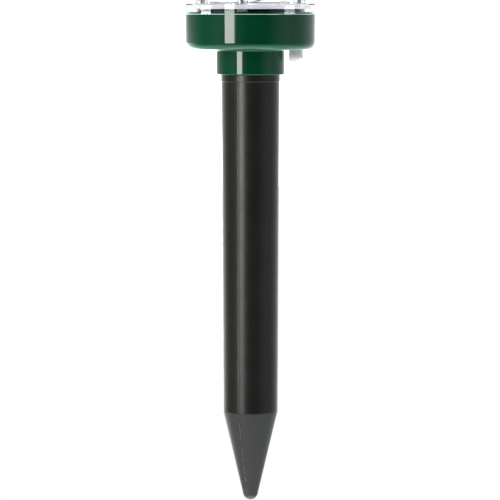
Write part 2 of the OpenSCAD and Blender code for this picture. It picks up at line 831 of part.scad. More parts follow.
module battery_cells() {
    nub_h = 1;
    color([0.15, 0.45, 0.2])
    for (k = [0:cell_count - 1])
        translate([0, 0, stack_top_z - k * (cell_len + cell_spacing) - cell_len]) rotate_extrude() {
            rounded([[0, 0], [cell_d / 2, 0], [cell_d / 2, cell_len - nub_h], [0, cell_len - nub_h]],
                [0, 0, 0.8, 0]);
            square([2.75, cell_len]);
        }
}

module battery_contacts() {
    color([0.8, 0.78, 0.7]) {
        bar(contact_r, stack_top_z, stack_top_z + contact_t);
        bar(contact_r, base_z, base_z + contact_t);
        translate([-holder_r - 2.4, -1.5, base_z]) cube([holder_r - 2, 3, contact_t]);
    }
}

module battery_spring() {
    color([0.75, 0.75, 0.77])
    spring(5.6, 2.4, contact_end_z, stack_end_z, 4, 0.4);
}

// Last bends of a battery lead, from the dish floor to its pin on side s of the plug
function plug_run(s) =
    let (p = battery_plug, out = p[0] + s * -p[0], pin = p[0] + s * pin_gap, y = p[1] + plug_face)
    [[out, 0, inside_z + 0.6], [out + (pin - out) * 0.15, y * 0.12, inside_z + 2.4],
        [out + (pin - out) * 0.5, y * 0.4, plug_mid_z - 0.4],
        [out + (pin - out) * 0.85, y * 0.68, plug_mid_z],
        [pin, y * 0.85, plug_mid_z], [pin, y, plug_mid_z]];

module battery_leads() {
    tab_x = holder_r + 1.6;
    color([0.6, 0.05, 0.05]) {
        wire(concat([[0, 0, stack_top_z + contact_t], [0, 0, floor_z]], plug_run(1)), lead_r, [1, 0, 0]);
        wire(concat([[-tab_x, 0, base_z + contact_t], [-tab_x, 0, base_z + 8], [-tab_x, 0, 0],
            [-lead_x, 0, 16], [-lead_x, 0, floor_z]], plug_run(-1)), lead_r, [1, 0, 0]);
    }
}

module foam_ring() {
    color([0.25, 0.25, 0.25])
    band(speaker_r, tube_bore_r(skirt_z) - fit_gap, skirt_z, skirt_z + speaker_depth);
}

// ---- speaker ----

module speaker_frame() {
    plate_z = yoke_z;
    color([0.6, 0.61, 0.62])
    difference() {
        rotate_extrude() polygon([[yoke_r, plate_z], [yoke_r, plate_z + frame_t], [11.7, plate_z + frame_t],
            [15.8, skirt_z], [speaker_r, skirt_z], [speaker_r, skirt_z - frame_t], [15, skirt_z - frame_t],
            [11, plate_z]]);
        for (k = [0:3]) rotate([0, 0, 45 + 90 * k])
            sector(12.2, 14.8, skirt_z + 0.5, plate_z + 3, -25, 25);
    }
}

module speaker_yoke() {
    color([0.55, 0.56, 0.58])
    difference() {
        bar(yoke_r, yoke_z, yoke_z + yoke_h);
        bar(yoke_r - yoke_wall, yoke_z - 1, yoke_roof_z);
    }
}

module speaker_magnet() {
    color([0.35, 0.35, 0.37])
    bar(magnet_r, yoke_z + pole_t, yoke_roof_z);
}

module pole_plate() {
    color([0.55, 0.56, 0.58])
    bar(pole_r, yoke_z, yoke_z + pole_t);
}

module speaker_surround() {
    color([0.08, 0.08, 0.08])
    rotate_extrude() polygon([[cone_r, cone_rim_z], [cone_r, cone_rim_z - 0.4],
        [14.6, skirt_z - frame_t - 0.4], [16.6, skirt_z - frame_t - 0.4],
        [16.6, skirt_z - frame_t], [15, skirt_z - frame_t], [14.2, cone_rim_z]]);
}

module voice_coil() {
    color([0.7, 0.35, 0.15])
    band(coil_r, coil_r + coil_t, cone_neck_z, coil_end_z);
}

module speaker_diaphragm() {
    neck_r2 = coil_r + coil_t;
    color([0.85, 0.85, 0.82, 0.9])
    rotate_extrude() polygon([[0, cone_neck_z - cap_depth], [0, cone_neck_z - cap_depth + cone_t],
        [coil_r - 1, cone_neck_z], [neck_r2, cone_neck_z],
        [cone_r, cone_rim_z], [cone_r, cone_rim_z - cone_t],
        [neck_r2, cone_neck_z - cone_t], [coil_r - 1, cone_neck_z - cone_t]]);
}

module speaker_leads() {
    color([0.1, 0.1, 0.1])
    for (s = [-1, 1])
        wire([[11, lead_gap * s, yoke_z + frame_t], [lead_x - 0.3, lead_gap * s, yoke_z + 4],
            [lead_x, lead_gap * s, base_z + 4], [lead_x, lead_gap * s, 0],
            [lead_x, lead_gap * s, inside_z + 1],
            [lead_x - 0.7, 1.05 * s, plug_mid_z - 0.9], [lead_x - 2, 1.15 * s, plug_mid_z],
            [speaker_plug_x + plug_face, pin_gap * s, plug_mid_z]], lead_r);
}

stake_tube();
spike_tip();
neck_seal();
head_dish();
clear_cover();
cover_gasket();
cover_screws();
bezel_plate();
bezel_pad();
solar_substrate();
solar_cells();
solar_resin();
solar_leads();
main_board();
board_screws();
timer_chip();
driver_transistor();
inductor_core();
inductor_winding();
board_capacitors();
board_resistors();
lead_connectors();
switch_body();
switch_board();
switch_board_screws();
switch_spring();
switch_leads();
switch_boot();
boot_retainer();
switch_plunger();
button_cap();
cartridge_frame();
cartridge_screws();
battery_cells();
battery_contacts();
battery_spring();
battery_leads();
foam_ring();
speaker_frame();
speaker_yoke();
speaker_magnet();
pole_plate();
speaker_surround();
speaker_leads();
voice_coil();
speaker_diaphragm();
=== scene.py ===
import bpy, json
from math import radians, degrees, sin, cos, tan, atan, atan2, sqrt, pi
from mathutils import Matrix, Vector


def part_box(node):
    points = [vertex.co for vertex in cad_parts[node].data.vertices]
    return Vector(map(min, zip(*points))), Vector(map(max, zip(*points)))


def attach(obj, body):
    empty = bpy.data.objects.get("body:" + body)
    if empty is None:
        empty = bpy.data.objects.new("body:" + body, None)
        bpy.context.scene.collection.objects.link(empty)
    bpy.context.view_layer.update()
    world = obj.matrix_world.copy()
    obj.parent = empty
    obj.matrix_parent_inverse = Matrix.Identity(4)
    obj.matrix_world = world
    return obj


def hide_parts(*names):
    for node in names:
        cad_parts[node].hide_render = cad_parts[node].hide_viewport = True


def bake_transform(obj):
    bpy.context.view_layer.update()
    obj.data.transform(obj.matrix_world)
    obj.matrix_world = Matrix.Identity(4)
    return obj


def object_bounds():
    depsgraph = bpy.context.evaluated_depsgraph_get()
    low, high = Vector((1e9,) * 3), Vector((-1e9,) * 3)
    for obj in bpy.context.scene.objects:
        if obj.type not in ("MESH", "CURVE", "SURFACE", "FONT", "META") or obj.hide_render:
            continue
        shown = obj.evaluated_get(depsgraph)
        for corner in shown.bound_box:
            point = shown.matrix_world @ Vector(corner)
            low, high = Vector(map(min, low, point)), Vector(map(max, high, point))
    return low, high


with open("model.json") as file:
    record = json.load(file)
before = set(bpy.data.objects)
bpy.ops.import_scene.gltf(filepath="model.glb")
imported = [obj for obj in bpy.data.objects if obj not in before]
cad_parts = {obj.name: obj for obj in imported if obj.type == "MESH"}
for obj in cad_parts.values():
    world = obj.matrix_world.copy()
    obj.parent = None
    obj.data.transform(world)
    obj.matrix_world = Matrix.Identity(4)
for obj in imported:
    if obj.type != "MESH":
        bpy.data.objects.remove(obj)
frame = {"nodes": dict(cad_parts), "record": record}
cadLow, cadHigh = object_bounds()
mm = 0.001

# camera, studio and floor

cameraSetup = {"azimuth": 9.5, "distance": 2.2, "height": 0.052, "aimHeight": -0.130, "aimLeft": 0.0003,
               "frameWidth": 0.3865}
turn = radians(cameraSetup["azimuth"])
away, aside = cameraSetup["distance"], cameraSetup["aimLeft"]
eye = Vector((sin(turn) * away, -cos(turn) * away, cameraSetup["height"]))
aim = Vector((-cos(turn) * aside, -sin(turn) * aside, cameraSetup["aimHeight"]))
bpy.ops.object.camera_add(location=eye, rotation=(aim - eye).to_track_quat("-Z", "Y").to_euler())
camera = bpy.context.object
camera.data.sensor_width = 36
camera.data.lens = 36 * (aim - eye).length / cameraSetup["frameWidth"]
bpy.context.scene.camera = camera
bpy.context.scene.view_settings.view_transform = "Standard"
bpy.context.scene.view_settings.look = "None"

# brightness and tint round the horizon, by degrees to the right of the camera, then towards floor and ceiling
# a band gives the two slopes, in degrees over the horizon, between which its light comes or goes
studio = {
    "round": [(-180, 2.4), (-160, 1.1), (-140, 0.56), (-118, 0.33), (-97, 0.13), (-77, 0.15), (-60, 0.34),
              (-48, 0.28), (-22, 0.16), (-8, 0.01), (30, 0.01), (47, 0.2), (67, 0.38), (85, 0.3), (106, 0.44),
              (126, 0.64), (145, 0.86), (180, 1.8)],
    "strip": {"from": -46, "to": -28.2, "edge": 0.7, "softEdge": 2.4, "strength": 10.6},
    "tint": [(-180, (1, 1, 1)), (-50, (1, 1, 0.94)), (-20, (1, 1, 0.94)), (20, (1, 1, 1)),
             (60, (0.96, 0.99, 1.04)), (150, (0.96, 0.99, 1.04)), (180, (1, 1, 1))],
    "floorGlow": 1.3, "belowGlow": 1.4, "ceilingGlow": 0.3, "underCover": 1.55,
    "lowBehind": {"left": 2.3, "right": 0.25},
    "behind": (100, 135), "back": (75, 110), "steepShade": 0.3,
    "bands": {"stripFoot": (-8.5, -1.5), "stripTop": (24, 30), "low": (-0.7, -3), "floor": (-22, -46),
              "below": (-62, -74), "ceiling": (16, 46), "steep": (12, 28)},
}

# broad lamps that fill the sides but leave no reflection: degrees to the right of the camera, watts
lampAim = Vector((0, 0, -0.05))
fillLamps = {"left_fill": {"at": -86, "power": 12.0, "height": 0.1, "distance": 1.2, "size": 0.5},
             "right_fill": {"at": 74, "power": 4.2, "height": 0.0, "distance": 1.2, "size": 0.5},
             "under_fill": {"at": 0, "power": 78.0, "height": -1.3, "distance": 0.0, "size": 0.8}}


def linkMath(tree, operation, first, second=None, third=None):
    node = tree.nodes.new("ShaderNodeMath")
    node.operation = operation
    for socket, value in zip(node.inputs, (first, second, third)):
        if value is None:
            continue
        if isinstance(value, (int, float)):
            socket.default_value = value
        else:
            tree.links.new(value, socket)
    return node.outputs[0]


def smoothStep(tree, value, low, high, outLow=0.0, outHigh=1.0):
    node = tree.nodes.new("ShaderNodeMapRange")
    node.interpolation_type = "SMOOTHSTEP"
    tree.links.new(value, node.inputs["Value"])
    node.inputs["From Min"].default_value = low
    node.inputs["From Max"].default_value = high
    node.inputs["To Min"].default_value = outLow
    node.inputs["To Max"].default_value = outHigh
    return node.outputs["Result"]


def slopeStep(tree, height, band, outLow=0.0, outHigh=1.0):
    low, high = studio["bands"][band]
    return smoothStep(tree, height, sin(radians(low)), sin(radians(high)), outLow, outHigh)


def rampNode(tree, share, rows):
    # colours by degrees, from -180 to 180
    node = tree.nodes.new("ShaderNodeValToRGB")
    stops = node.color_ramp.elements
    for place, (angleAt, colour) in enumerate(rows):
        spot = (angleAt + 180) / 360
        stop = stops[place] if place < 2 else stops.new(spot)
        stop.position = spot
        stop.color = (*colour, 1)
    tree.links.new(share, node.inputs[0])
    return node


def buildStudio():
    world = bpy.data.worlds.new("studio")
    bpy.context.scene.world = world
    world.use_nodes = True
    tree = world.node_tree
    tree.nodes.clear()
    direction = tree.nodes.new("ShaderNodeTexCoord")
    axes = tree.nodes.new("ShaderNodeSeparateXYZ")
    tree.links.new(direction.outputs["Generated"], axes.inputs[0])
    # angle to the right of the camera, 0 to 1 round the whole horizon
    towards = linkMath(tree, "MULTIPLY", axes.outputs["Y"], -1)
    angle = linkMath(tree, "ARCTAN2", axes.outputs["X"], towards)
    angle = linkMath(tree, "SUBTRACT", angle, turn)
    angle = linkMath(tree, "WRAP", angle, pi, -pi)
    share = linkMath(tree, "MULTIPLY_ADD", angle, 0.5 / pi, 0.5)
    ramp = rampNode(tree, share, [(angleAt, (level, level, level)) for angleAt, level in studio["round"]])
    strip = studio["strip"]
    edge, softEdge = radians(strip["edge"]), radians(strip["softEdge"])
    rise = smoothStep(tree, angle, radians(strip["from"]) - edge, radians(strip["from"]) + edge)
    fall = smoothStep(tree, angle, radians(strip["to"]) - softEdge, radians(strip["to"]) + softEdge, 1.0, 0.0)
    height = axes.outputs["Z"]
    fade = slopeStep(tree, height, "stripFoot")
    top = slopeStep(tree, height, "stripTop", 1.0, 0.0)
    across, along = linkMath(tree, "MULTIPLY", rise, fall), linkMath(tree, "MULTIPLY", fade, top)
    stripLevel = linkMath(tree, "MULTIPLY", across, along)
    # the table far behind is brighter than the wall over it
    near, far = (radians(a) for a in studio["behind"])
    behindLeft = smoothStep(tree, angle, -near, -far, 0.0, studio["lowBehind"]["left"])
    behindRight = smoothStep(tree, angle, near, far, 0.0, studio["lowBehind"]["right"])
    behind = linkMath(tree, "ADD", behindLeft, behindRight)
    low = slopeStep(tree, height, "low")
    around = linkMath(tree, "MULTIPLY", ramp.outputs[0], linkMath(tree, "MULTIPLY_ADD", behind, low, 1))
    level = linkMath(tree, "MULTIPLY_ADD", stripLevel, strip["strength"], around)
    down = slopeStep(tree, height, "floor")
    below = slopeStep(tree, height, "below", 0.0, studio["belowGlow"])
    up = slopeStep(tree, height, "ceiling")
    keep = linkMath(tree, "SUBTRACT", linkMath(tree, "SUBTRACT", 1, down), up)
    level = linkMath(tree, "MULTIPLY", level, keep)
    level = linkMath(tree, "ADD", linkMath(tree, "MULTIPLY_ADD", down, studio["floorGlow"], level), below)
    level = linkMath(tree, "MULTIPLY_ADD", up, studio["ceilingGlow"], level)
    lit = tree.nodes.new("ShaderNodeBackground")
    tree.links.new(rampNode(tree, share, studio["tint"]).outputs[0], lit.inputs["Color"])
    tree.links.new(level, lit.inputs["Strength"])
    plain = tree.nodes.new("ShaderNodeBackground")
    plain.inputs["Color"].default_value = (1, 1, 1, 1)
    ray = tree.nodes.new("ShaderNodeLightPath")
    # what lies under the clear cover is lit through it, with more light than the backdrop shows
    under = linkMath(tree, "GREATER_THAN", ray.outputs["Diffuse Depth"], 0.5)
    # a thick edge of the cover that bends the view up or down shows a darker place
    steep = slopeStep(tree, linkMath(tree, "ABSOLUTE", height), "steep", 1.0, studio["steepShade"])
    near, far = (radians(a) for a in studio["back"])
    back = smoothStep(tree, linkMath(tree, "ABSOLUTE", angle), near, far)
    backdrop = linkMath(tree, "MAXIMUM", linkMath(tree, "MULTIPLY", steep, back), around)
    backdrop = linkMath(tree, "MAXIMUM", ray.outputs["Is Camera Ray"], backdrop)
    strength = linkMath(tree, "MULTIPLY_ADD", under, studio["underCover"], backdrop)
    tree.links.new(strength, plain.inputs["Strength"])
    mix = tree.nodes.new("ShaderNodeMixShader")
    out = tree.nodes.new("ShaderNodeOutputWorld")
    # the backdrop is plain white where the camera sees it, directly or through the clear cover
    direct = linkMath(tree, "MAXIMUM", ray.outputs["Is Camera Ray"], ray.outputs["Is Transmission Ray"])
    tree.links.new(direct, mix.inputs[0])
    tree.links.new(lit.outputs[0], mix.inputs[1])
    tree.links.new(plain.outputs[0], mix.inputs[2])
    tree.links.new(mix.outputs[0], out.inputs["Surface"])


def buildFloor():
    bpy.ops.object.select_all(action="DESELECT")
    bpy.ops.mesh.primitive_plane_add(size=8, location=(0, 0, cadLow[2]))
    floor = bpy.context.object
    floor.name = "floor"
    paint = bpy.data.materials.new("floor_white")
    paint.use_nodes = True
    tree = paint.node_tree
    glow = tree.nodes.new("ShaderNodeEmission")
    glow.inputs["Color"].default_value = (1, 1, 1, 1)
    tree.links.new(glow.outputs[0], tree.nodes["Material Output"].inputs["Surface"])
    floor.data.materials.append(paint)
    floor.visible_glossy = False
    floor.visible_diffuse = False
    floor.visible_transmission = False
    floor.visible_shadow = False


def addFillLamps():
    for name, lamp in fillLamps.items():
        bearing = radians(lamp["at"]) + turn
        place = Vector((sin(bearing), -cos(bearing), 0)) * lamp["distance"] + Vector((0, 0, lamp["height"]))
        facing = (lampAim - place).to_track_quat("-Z", "Y").to_euler()
        bpy.ops.object.light_add(type="AREA", location=place, rotation=facing)
        light = bpy.context.object
        light.name = name
        light.data.shape = "DISK"
        light.data.size = lamp["size"]
        light.data.energy = lamp["power"]
        light.visible_glossy = False
        light.visible_camera = False


buildStudio()
buildFloor()
addFillLamps()
print("studio ready")

# how the shells are turned


def arcPoints(centre, radius, fromAngle, toAngle, count):
    # a run of outline points round a centre, angles in degrees from +X
    return [(centre[0] + radius * cos(radians(fromAngle + (toAngle - fromAngle) * k / count)),
             centre[1] + radius * sin(radians(fromAngle + (toAngle - fromAngle) * k / count)))
            for k in range(count + 1)]


def roundCorner(before, corner, after, radius, count=6):
    # points of the arc that is tangent to both lines at a corner
    p, a, b = Vector(corner), Vector(before), Vector(after)
    u, v = (a - p).normalized(), (b - p).normalized()
    half = u.angle(v) / 2
    start, end = p + u * (radius / tan(half)), p + v * (radius / tan(half))
    centre = p + (u + v).normalized() * (radius / sin(half))
    first = atan2(start.y - centre.y, start.x - centre.x)
    last = atan2(end.y - centre.y, end.x - centre.x)
    while last - first > pi: last -= 2 * pi
    while last - first < -pi: last += 2 * pi
    return arcPoints(tuple(centre), radius, degrees(first), degrees(last), count)


def rounded(points, radii, count=6):
    # the outline with each corner rounded by its own radius, in millimetres
    out = []
    for k, (point, radius) in enumerate(zip(points, radii)):
        if radius:
            out += roundCorner(points[k - 1], point, points[(k + 1) % len(points)], radius, count)
        else:
            out.append(tuple(point))
    return out


def pickOnly(piece):
    bpy.ops.object.select_all(action="DESELECT")
    piece.select_set(True)
    bpy.context.view_layer.objects.active = piece


def smoothShade(piece, angle):
    pickOnly(piece)
    bpy.ops.object.shade_smooth_by_angle(angle=radians(angle))


def weightNormals(piece):
    # flat walls keep flat shading beside their rounds
    bpy.context.view_layer.objects.active = piece
    even = piece.modifiers.new("even_shading", "WEIGHTED_NORMAL")
    even.keep_sharp = True
    even.weight = 90
    bpy.ops.object.modifier_apply(modifier=even.name)


def drawOutline(outline):
    # a small plane merged to one point, then pulled along the outline, in millimetres
    bpy.ops.object.select_all(action="DESELECT")
    start = outline[0]
    bpy.ops.mesh.primitive_plane_add(size=0.001, location=(start[0] * mm, 0, start[1] * mm))
    piece = bpy.context.object
    bpy.ops.object.mode_set(mode="EDIT")
    bpy.ops.mesh.merge(type="CENTER")
    here = start
    for there in outline[1:]:
        step = ((there[0] - here[0]) * mm, 0, (there[1] - here[1]) * mm)
        bpy.ops.mesh.extrude_region_move(TRANSFORM_OT_translate={"value": step})
        here = there
    bpy.ops.mesh.select_all(action="SELECT")
    return piece


def spinAll(steps, angle):
    bpy.ops.mesh.select_all(action="SELECT")
    bpy.ops.mesh.spin(steps=steps, angle=angle, center=(0, 0, 0), axis=(0, 0, 1))
    bpy.ops.mesh.select_all(action="SELECT")
    bpy.ops.mesh.remove_doubles(threshold=2e-6)
    bpy.ops.mesh.normals_make_consistent(inside=False)
    bpy.ops.object.mode_set(mode="OBJECT")


def turnedShell(name, outline, steps=192, closed=False):
    outline = list(outline) + ([outline[0]] if closed else [])
    piece = drawOutline(outline)
    bpy.ops.mesh.remove_doubles(threshold=2e-6)
    spinAll(steps, 2 * pi)
    bpy.ops.object.transform_apply(location=True, rotation=True, scale=True)
    piece.name = name
    return piece


def settle(piece):
    # puts the place, turn and scale into the mesh
    pickOnly(piece)
    bpy.ops.object.transform_apply(location=True, rotation=True, scale=True)


def roundBar(radius, low, high, at=(0, 0), sides=64):
    bpy.ops.object.select_all(action="DESELECT")
    bpy.ops.mesh.primitive_cylinder_add(vertices=sides, radius=radius * mm, depth=(high - low) * mm,
                                        location=(at[0] * mm, at[1] * mm, (low + high) / 2 * mm))
    piece = bpy.context.object
    settle(piece)
    return piece


def squareBar(size, low, high, at=(0, 0), spin=0):
    bpy.ops.object.select_all(action="DESELECT")
    bpy.ops.mesh.primitive_cube_add(size=1, location=(at[0] * mm, at[1] * mm, (low + high) / 2 * mm),
                                    rotation=(0, 0, radians(spin)))
    piece = bpy.context.object
    piece.scale = (size[0] * mm, size[1] * mm, (high - low) * mm)
    settle(piece)
    return piece


def ringSector(inner, outer, low, high, fromAngle, toAngle):
    # part of a ring: an upright rectangle spun through part of a turn
    piece = drawOutline([(inner, low), (outer, low), (outer, high), (inner, high), (inner, low)])
    bpy.ops.mesh.remove_doubles(threshold=2e-6)
    bpy.ops.mesh.select_all(action="SELECT")
    bpy.ops.mesh.edge_face_add()
    # operators that turn go the other way without a window, so the mesh is spun from its start angle
    bpy.ops.object.mode_set(mode="OBJECT")
    bpy.ops.object.transform_apply(location=True, rotation=True, scale=True)
    piece.rotation_euler = (0, 0, radians(fromAngle))
    bpy.ops.object.transform_apply(location=False, rotation=True, scale=False)
    bpy.ops.object.mode_set(mode="EDIT")
    spinAll(12, radians(toAngle - fromAngle))
    return piece


def joined(parts, name=None):
    bpy.ops.object.select_all(action="DESELECT")
    for part in parts:
        part.select_set(True)
    bpy.context.view_layer.objects.active = parts[0]
    if len(parts) > 1:
        bpy.ops.object.join()
    piece = bpy.context.object
    if name:
        piece.name = name
    return piece


def combine(piece, tool, operation):
    # adds or cuts the tool, then throws it away
    pickOnly(piece)
    cut = piece.modifiers.new("cut", "BOOLEAN")
    cut.operation = operation
    cut.solver = "EXACT"
    cut.object = tool
    bpy.ops.object.modifier_apply(modifier=cut.name)
    bpy.data.objects.remove(tool, do_unlink=True)
    return piece


def bevelEdges(piece, width, segments=3, angle=40):
    pickOnly(piece)
    edge = piece.modifiers.new("edge", "BEVEL")
    edge.width = width * mm
    edge.segments = segments
    edge.limit_method = "ANGLE"
    edge.angle_limit = radians(angle)
    bpy.ops.object.modifier_apply(modifier=edge.name)


def topOf(node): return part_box(node)[1][2] / mm
def footOf(node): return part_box(node)[0][2] / mm


def aroundScrews(radius):
    return [(radius, 0), (0, radius), (-radius, 0), (0, -radius)]


# heights that the pieces share, from the frame, in millimetres
floorZ = topOf("cartridge_frame")
rimZ = footOf("clear_cover")
lipZ = topOf("head_dish")
collarFootZ = footOf("head_dish")
domeZ = topOf("clear_cover")
bezelTopZ = topOf("bezel_plate")
tubeEndZ = -255.0
switchX = (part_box("switch_body")[0][0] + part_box("switch_body")[1][0]) / 2 / mm

# green dish with its collar

dish = {"radius": 50.0, "lowRadius": 49.671, "underRise": 0.6, "wall": 2.2, "floor": 2.4, "edgeRound": 5.6,
        "collarRadius": 26.2, "collarBore": 21.1, "collarRound": 0.8, "fillet": 0.7, "rimRound": 0.3,
        "lipRadius": 48.0, "lipWidth": 2.0, "grooveDepth": 0.8, "bossRadius": 4.5, "bossRing": 38.0,
        "bossFoot": 41.6, "ribRing": 43.3, "ribSize": (9.4, 3), "boardPost": 3, "boardSpot": (24, 14),
        "switchPost": 2.6, "switchSpots": (-9.65, 9.65), "postHole": 1.2, "screwHole": 1.5,
        "cartridgeHole": 1.65, "cartridgeSpots": (-13, 13), "leadHole": 2, "leadSpots": (-12, 0, 12),
        "bootHole": 5.85}

# bayonet: each slot's track runs round the bore, and its mouth opens the track downwards
bayonet = {"bore": 20.6,
           "track": {"outer": 22.8, "low": 10.1, "high": 13.9, "from": -49, "to": 9.6},
           "mouth": {"outer": 22.79, "low": 4.3, "high": 13.8, "from": -48.9, "to": -27}}


def bayonetSlots(shape):
    b, bore = bayonet[shape], bayonet["bore"]
    return joined([ringSector(bore, b["outer"], b["low"], b["high"], turned + b["from"], turned + b["to"])
                   for turned in (0, 120, 240)])


def buildDish():
    d = dish
    insideZ = floorZ + d["floor"]
    lowEdge = (d["lowRadius"], floorZ + d["underRise"])
    rim = (d["radius"], rimZ)
    boreLow, boreHigh = d["lowRadius"] - d["wall"], d["radius"] - d["wall"]
    lip, grooveZ = d["lipRadius"], rimZ - d["grooveDepth"]
    outline = [(0, floorZ), (d["collarBore"], floorZ), (d["collarBore"], collarFootZ),
               (d["collarRadius"], collarFootZ), (d["collarRadius"], floorZ), lowEdge, rim,
               (lip + 1.4, rimZ), (lip + 1.4, grooveZ), (lip + 0.5, grooveZ), (lip + 0.5, rimZ),
               (lip, rimZ), (lip, lipZ), (lip - d["lipWidth"], lipZ), (lip - d["lipWidth"], rimZ - 4),
               (boreHigh - 0.08, rimZ - 5.85), (boreLow, insideZ), (0, insideZ)]
    radii = [0, 0, 0.3, d["collarRound"], d["fillet"], d["edgeRound"], d["rimRound"],
             0, 0, 0, 0,
             0, 0.25, 0.25, 0, 0, d["edgeRound"] - d["wall"], 0]
    shell = turnedShell("green_dish", rounded(outline, radii, 8), 240)
    boardX, boardY = d["boardSpot"]
    boardSpots = [(x, y) for x in (-boardX, boardX) for y in (-boardY, boardY)]
    switchSpots = [(switchX, y) for y in d["switchSpots"]]
    boardZ, switchZ = footOf("main_board"), footOf("switch_board")
    around = aroundScrews(d["bossRing"])
    bosses = [roundBar(d["bossRadius"], d["bossFoot"], lipZ - 0.02, at) for at in around]
    ribs = [squareBar(d["ribSize"], d["bossFoot"], rimZ - 0.6, at, spin)
            for at, spin in zip(aroundScrews(d["ribRing"]), (0, 90, 0, 90))]
    ribs += [roundBar(d["boardPost"], insideZ - 1, boardZ, at, 32) for at in boardSpots]
    ribs += [roundBar(d["switchPost"], insideZ - 1, switchZ, at, 32) for at in switchSpots]
    combine(shell, joined(bosses), "UNION")
    combine(shell, joined(ribs), "UNION")
    under, over = floorZ - 1, insideZ + 1
    holes = [roundBar(d["screwHole"], d["bossFoot"] + 2, lipZ + 1, at, 32) for at in around]
    holes += [roundBar(d["postHole"], boardZ - 5, boardZ + 1, at, 24) for at in boardSpots]
    holes += [roundBar(d["postHole"], switchZ - 4, switchZ + 1, at, 24) for at in switchSpots]
    holes += [roundBar(d["cartridgeHole"], under, over, (0, y), 32) for y in d["cartridgeSpots"]]
    holes += [roundBar(d["leadHole"], under, over, (x, 0), 32) for x in d["leadSpots"]]
    holes.append(roundBar(d["bootHole"], under, over, (switchX, 0), 64))
    combine(shell, joined(holes), "DIFFERENCE")
    # slots that the stake's lugs enter from below and then turn into
    combine(shell, bayonetSlots("track"), "DIFFERENCE")
    combine(shell, bayonetSlots("mouth"), "DIFFERENCE")
    smoothShade(shell, 30)
    weightNormals(shell)
    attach(shell, "head")
    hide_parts("head_dish")
    return shell


greenDish = buildDish()
print("dish", len(greenDish.data.polygons), "faces")

# clear cover

cover = {"radius": 50.3, "wall": 2.0, "shoulderRise": 8.0, "slopeWidth": 4.6, "domeRise": 3.4,
         "bossRadius": 5.0, "bossTop": 64.6, "counterbore": 3.85, "seat": 61.7, "hole": 1.65, "frosted": 0.32}


def coverOutline():
    c = cover
    shoulderZ = rimZ + c["shoulderRise"]
    domeEdge = c["radius"] - c["slopeWidth"]
    domeRadius = (domeEdge ** 2 + c["domeRise"] ** 2) / (2 * c["domeRise"])
    centreZ = domeZ - domeRadius
    outerDome = [(domeRadius * sin(a), centreZ + domeRadius * cos(a))
                 for a in [atan(domeEdge / (domeRadius - c["domeRise"])) * k / 24 for k in range(24, -1, -1)]]
    inRadius = c["radius"] - c["wall"]
    turnZ = shoulderZ - c["wall"] * tan(radians(22.5))
    innerDomeRadius = domeRadius - c["wall"]
    # where the inner slope meets the inner dome
    high = turnZ + 3.4
    for _ in range(30):
        r = inRadius - (high - turnZ)
        high = centreZ + sqrt(innerDomeRadius ** 2 - r ** 2)
    innerEdge = inRadius - (high - turnZ)
    halfAngle = atan2(innerEdge, high - centreZ)
    innerDome = [(innerDomeRadius * sin(a), centreZ + innerDomeRadius * cos(a))
                 for a in [halfAngle * k / 24 for k in range(25)]]
    innerDome[0] = (0.0, innerDome[0][1])
    outerDome[-1] = (0.0, outerDome[-1][1])
    outside = [(inRadius, rimZ), (c["radius"], rimZ), (c["radius"], shoulderZ), outerDome[0], outerDome[1]]
    outside.insert(2, (c["radius"], rimZ + c["frosted"]))
    edges = rounded(outside, [0, 0.25, 0, 0.35, 0.4, 0], 5)
    inside = rounded([innerDome[-2], innerDome[-1], (inRadius, turnZ), (inRadius, rimZ)], [0, 0.3, 0.5, 0], 4)
    return edges + outerDome[2:] + innerDome[:-2] + inside


def buildCover():
    c = cover
    shell = turnedShell("clear_lens", coverOutline(), 240)
    around = aroundScrews(dish["bossRing"])
    bosses = [roundBar(c["bossRadius"], bezelTopZ + 0.02, c["bossTop"], at) for at in around]
    sinks = [roundBar(c["counterbore"], c["seat"], domeZ + 2, at) for at in around]
    holes = [roundBar(c["hole"], bezelTopZ - 1, c["seat"] + 1, at, 32) for at in around]
    combine(shell, joined(bosses), "UNION")
    combine(shell, joined(sinks), "DIFFERENCE")
    combine(shell, joined(holes), "DIFFERENCE")
    smoothShade(shell, 25)
    weightNormals(shell)
    # the lower edge keeps the mould's frosted finish, and its faces get a pale green-cyan finish that paints
    # a highlight line there
    shell.data.materials.append(None)
    shell.data.materials.append(None)
    for face in shell.data.polygons:
        face.material_index = 1 if face.center.z < (rimZ + c["frosted"]) * mm else 0
    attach(shell, "head")
    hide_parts("clear_cover")
    return shell


clearLens = buildCover()
print("cover", len(clearLens.data.polygons), "faces")

# screws that hold the cover

screw = {"headRadius": 2.9, "headHeight": 2.4, "shankRadius": 1.5, "length": 14.0, "thread": 0.12,
         "pitch": 0.85, "crest": 0.42, "turns": 15, "crownRadius": 4.2, "recess": (3.5, 0.8),
         "recessFoot": 1.1}


